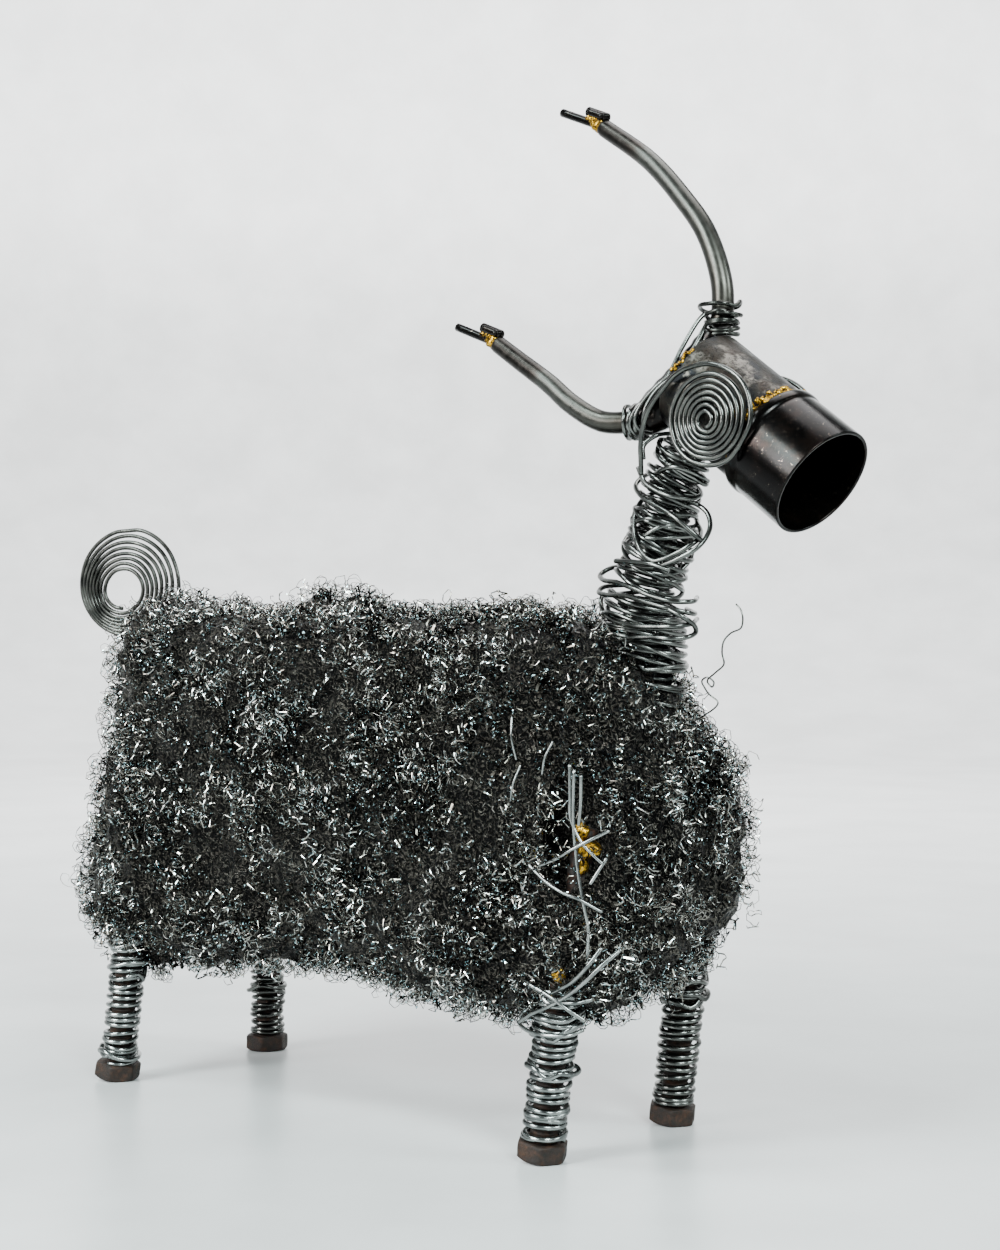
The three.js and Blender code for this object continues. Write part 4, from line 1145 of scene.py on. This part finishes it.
put("yoke", tubes(yoke_path, yoke_radii, 24), black_steel, "blackened_steel", ["horn_yoke"])
horns = {}
for side, points in HORN_PATHS.items():
    horns[side] = path = smooth_path(points, 120)
    share = np.linspace(0, 1, 120)
    radii = 3.2 - 0.6 * share
    radii[:2] *= [0.8, 0.97]
    radii[-3:] *= [1.0, 0.97, 0.82]
    along = np.append(np.repeat(share, 20), [0, 1]) * 0.5 / DARK_FROM[side]
    rod = tubes(path, radii, 20)
    put("horn_rod_" + side, rod, horn_steel, "horn_steel", ["horn_" + side], along=along)

# %% [markdown]
# Two pins are brazed into the end of each horn, a long one on the rod's axis and a short, thick stub
# above it. Brass fills the space between them in a few overlapping drops.

# %% Horn tips
PIN_BEND = np.radians(12)


def straight(start, way, length, radius, steps=14):
    """A straight pin with softly rounded ends."""
    path = start + np.linspace(0, length, steps)[:, None] * way
    radii = np.full(steps, radius)
    radii[[0, -1]] *= 0.72
    path[1] = start + 0.35 * way
    path[-2] = start + (length - 0.35) * way
    return tubes(path, radii, 14)


for side, path in horns.items():
    run = unit(path[-1] - path[-3])
    aside = unit(np.cross([0, 0, 1.0], run))
    way = np.cos(PIN_BEND) * run + np.sin(PIN_BEND) * np.cross(aside, run)
    up = np.cross(way, aside)
    up = up if up[2] > 0 else -up
    low_foot = path[-1] + 1.0 * way
    high_foot = low_foot + 2.8 * up
    long_pin = straight(low_foot, way, 16.2, 1.25)
    stub_core = straight(high_foot - 2.0 * way, way, 8.4, 1.45)
    stub = joined(stub_core, straight(high_foot - 1.2 * way + 1.2 * aside, way, 6.0, 1.1))
    put("long_pin_" + side, long_pin, black_steel, "blackened_steel", ["horn_long_pin_" + side])
    put("short_pin_" + side, stub, black_steel, "blackened_steel", ["horn_short_pin_" + side])
    drops = joined(
        bead(path[-1] + 1.0 * way + 0.2 * up, [5.0, 4.6, 5.0], 1.3, 0.2),
        bead(path[-1] + 3.4 * way + 1.0 * up, [4.0, 3.6, 3.6], 2.3, 0.25),
        bead(path[-1] + 5.4 * way + 1.3 * up, [3.2, 3.0, 2.6], 4.1, 0.25),
    )
    put("tip_brass_" + side, drops, braze_brass, "brazing_brass", ["horn_tip_braze_" + side])

# %% [markdown]
# Wire ties the horn roots to the head. Four loose turns go round the upper root and three round the
# lower one, and three strands run down the back of the head from one to the other.

# %% Root bindings and ties
rng = np.random.default_rng(9)
upper_root = np.array([[123.6, 4.4, 224.0], [123.4, 4.5, 230.0], [123.3, 4.6, 237.0]])
upper_axis = smooth_path(upper_root, 30)
close_turns = wound_round(upper_axis, [0.15, 0.45, 0.62], [4.4, 4.1, 4.3], 4.6, rng, 0.6, 0.3, 30, 2, 2.0)
loose_turn = wound_round(upper_axis, [0.66, 0.78, 0.84], [4.4, 6.0, 4.4], 1.6, rng, 0.7, 0.2, 40, 1, 3.4)
left_binding = joined(tubes(close_turns, WIRE / 2), tubes(loose_turn, WIRE / 2))
put("root_wire_left", left_binding, wire_dull, "galvanised_wire", ["horn_binding_left"])
lower_axis = smooth_path([[106.5, -5.6, 203.0], [102.5, -5.9, 203.2], [97.0, -6.2, 203.5]], 30)
right_radii = [4.6, 4.5, 4.4]
right_turns = wound_round(lower_axis, [0.25, 0.5, 0.8], right_radii, 2.6, rng, 0.5, 0.2, 30, 2, 1.0, -1.0)
right_binding = tubes(right_turns, WIRE / 2)
put("root_wire_right", right_binding, wire_bright, "galvanised_wire", ["horn_binding_right"])
TIES = [
    [
        [120.4, 1, 232.8], [119.1, -1, 230.3], [116.5, -5, 222.6], [113.6, -8, 214.6],
        [108.6, -9, 210.5], [103.9, -10, 205.5], [102.5, -10, 202], [103.4, -8, 199.3],
        [103.9, -4, 199.1],
    ],
    [
        [119.6, 3, 230.6], [120.7, 0, 228.6], [119.9, -4, 222.5], [116.6, -7, 217], [111, -9, 212.3],
        [106.6, -10.5, 207.2], [105, -11, 203.2], [105.5, -9, 200.3], [106.4, -5, 199.9],
    ],
    [
        [118.3, 4, 228.6], [121.1, -3, 223.3], [119.9, -6, 219.5], [115.3, -8, 214.8],
        [110.7, -9.5, 210.6], [108.4, -11, 205.7], [107.3, -10, 201.4], [107.1, -6, 200.7],
    ],
    [[112.3, -2, 199.8], [109.6, -7, 199], [106.9, -9.5, 196.1], [107.6, -10.5, 192.4]],
]
ties = joined(*(tubes(smooth_path(path, 60), WIRE / 2) for path in TIES))
put("tie_wires", ties, wire_bright, "galvanised_wire", ["horn_tie_wire"])

# %% [markdown]
# Ears and tail are wire wound flat on itself. In words: the angle grows evenly, the radius grows with
# it, and the point is the centre plus radius * (cos, sin) in an upright plane. A lead carries the last
# turn on into the neck or the rump.

# %% Ears
def spiral(centre, bearing, radii, turns, sign, steps, wobble=0.0, seed=0):
    """A flat spiral in an upright plane, starting below its centre."""
    along = np.array([np.cos(np.radians(bearing)), np.sin(np.radians(bearing)), 0.0])
    t = np.linspace(0, 1, steps)
    angle = -np.pi / 2 + sign * t * turns * 2 * np.pi
    radius = evenly(t, radii)
    radius = radius + wander(np.random.default_rng(seed), steps, 2 * turns, wobble)
    return np.asarray(centre) + radius[:, None] * round_the(angle, along, np.array([0, 0, 1.0]))


EARS = {"right": [134.4, -17.9, 201.6], "left": [131.4, 18.2, 201.6]}
EAR_LEAD = [[-9.8, -1, 13], [-16.8, -1.8, 8.2], [-22.4, -2.8, 2.4], [-25.4, -4.2, -4.4], [-26.6, -6, -12]]
for side, centre in EARS.items():
    outward = np.sign(centre[1])
    wound = spiral(centre, 0, [1.6, 3.3, 5.0, 6.6, 8.2, 9.8, 11.5, 14.1], 7.55, 1, 500, 0.1, 3)
    drift = np.linspace(1, 0, 500)[:, None] * np.array([-1.0, 0.0, -0.9])
    wound = wound + drift
    lead = np.array(centre) + np.array(EAR_LEAD) * [1, outward, 1]
    joint = smooth_path(np.concatenate([wound[-30::8], lead]), 90)
    path = np.concatenate([wound[:-30], joint])
    even = smooth_path(np.concatenate([path[::4], path[-1:] + [[0, 0, -1.5]]]), 560)
    put("ear_wire_" + side, tubes(even, NECK_WIRE, 10), wire_ear, "galvanised_wire", ["ear_" + side])

# %% [markdown]
# The tail is a larger spiral that stands up behind the rump. It is wound a little out of its plane, as
# wire is that was turned round a peg, so the turns drift outwards with the square of the way along.

# %% Tail
tail_radii = [6.5, 8.2, 9.8, 11.3, 12.8, 14.3, 15.8, 17.4, 19.0]
tail_turns = spiral([-125, 0, 160], 21.5, tail_radii, 7.75, -1, 500, 0.15, 4)
tail_turns = tail_turns + np.linspace(0, 1, 500)[:, None] ** 2 * np.array([2.2, 0.9, 2.6])
tail_lead = smooth_path(np.concatenate([tail_turns[-20::6], [[-105.4, 7.6, 150], [-107, 7, 139]]]), 50)
tail_path = smooth_path(np.concatenate([tail_turns[:-20], tail_lead])[::4], 500)
put("tail_wire", tubes(tail_path, NECK_WIRE, 10), wire_dull, "galvanised_wire", ["tail_coil"])

# %% [markdown]
# One thin wire has sprung loose at the chest. Its points were read off the photograph.

# %% Loose curl at the chest
CURL_RADIUS = 0.25
CURL_PATH = [
    [112, 2, 118], [123.7, 2, 125.2], [120.7, 2, 127.6], [120.7, 0, 129.3], [120.1, -0.6, 131.2],
    [122.1, -0.8, 132.3], [123.7, 0, 131], [122.7, 0.6, 129.6], [121.1, 0.6, 131.2], [124.4, 0, 133.7],
    [127, 0, 135.9], [126.4, 0, 139.2], [127, 0, 142.2], [129.3, 0, 144.4], [132.6, 0, 145.8],
    [133.2, 0, 148.2], [132.6, 0, 150.6], [131, 0, 152.3],
]
curl = tubes(smooth_path(CURL_PATH, 140), CURL_RADIUS, 8)
put("loose_wire_curl", curl, wire_bright, "metal_wool", ["loose_curl"])
print("triangles in all:", sum(triangles_made.values()))

# %% [markdown]
# The studio is a pale round floor that curves up into a wall behind the ram, so that no horizon shows.
# Dark metal looks dark only if little light surrounds it. So the wall has a light of its own, two soft
# boxes give the long highlights on wire and pipe, and four small strong lights make the wool sparkle.

# %% Floor and light
studio, tree, place, output = new_material("pale studio floor")
veins = noise(tree, place, 90.0, 5.0, 0.6)
inputs = {"Base Color": ramp(tree, veins, [(0.35, "#B4B5B5"), (0.65, "#C0C1C1")]), "Roughness": 0.32}
shader = add(tree, "ShaderNodeBsdfPrincipled", inputs)
tree.links.new(shader.outputs["BSDF"], output.inputs["Surface"])
bend = np.linspace(0, np.pi / 2, 16)[1:]
floor_radius = np.concatenate([np.linspace(0.02, 1.9, 12), 1.9 + 1.0 * np.sin(bend), [2.9, 2.9]])
floor_height = np.concatenate([np.zeros(12), 1.0 * (1 - np.cos(bend)), [2.0, 3.0]])
angle = circle(96)[None]
across_floor = floor_radius[:, None] * np.cos(angle), floor_radius[:, None] * np.sin(angle)
rings = np.stack(np.broadcast_arrays(*across_floor, floor_height[:, None]), axis=-1)
points = np.concatenate([rings.reshape(-1, 3), [[0, 0, 0]]])
centre_fan = np.stack([np.full(96, len(points) - 1), np.arange(96), (np.arange(96) + 1) % 96], 1)
floor_mesh = bpy.data.meshes.new("studio_floor")
sheet = grid_faces(len(floor_radius), 96)[:, ::-1].reshape(len(floor_radius) - 1, 96, 4)
behind = np.cos(angle[0] - np.radians(130)) > -0.2
sheet = np.concatenate([sheet[:11].reshape(-1, 4), sheet[11:, behind].reshape(-1, 4)])
floor_mesh.from_pydata(points.tolist(), [], sheet.tolist() + centre_fan.tolist())
floor_mesh.shade_smooth()
floor_mesh.materials.append(studio)
floor = bpy.data.objects.new("studio_floor", floor_mesh)
bpy.context.scene.collection.objects.link(floor)

world = bpy.data.worlds.new("studio air")
world.use_nodes = True
world.node_tree.nodes["Background"].inputs["Color"].default_value = colour("#DFE3E6")
world.node_tree.nodes["Background"].inputs["Strength"].default_value = 0.16
bpy.context.scene.world = world


def area_light(name, place, target, size, watts, tint="#FFFFFF"):
    """A square light of that size in metres, pointed at a target, both in millimetres from the feet."""
    data = bpy.data.lights.new(name, "AREA")
    data.size = size
    data.energy = watts
    data.color = colour(tint)[:3]
    light = bpy.data.objects.new(name, data)
    light.location = in_frame(place)
    way = Vector(in_frame(target) - in_frame(place))
    light.rotation_euler = way.to_track_quat("-Z", "Y").to_euler()
    bpy.context.scene.collection.objects.link(light)


area_light("softbox_left", [-350, -1150, 520], [0, 0, 130], 0.35, 18)
area_light("softbox_top", [100, 300, 1300], [0, 0, 130], 0.8, 16)
area_light("wall_wash", [-600, 750, 1500], [-1700, 2000, 500], 1.2, 155)
area_light("spark_left", [-150, -1250, 900], [0, 0, 100], 0.4, 30, "#EEFFFF")
area_light("spark_right", [1150, -650, 900], [0, 0, 100], 0.4, 34, "#EEFFFF")
area_light("spark_front", [1300, 450, 800], [0, 0, 100], 0.4, 17, "#EEFFFF")
area_light("spark_top", [-400, -600, 1200], [0, 0, 100], 0.3, 14, "#EEFFFF")
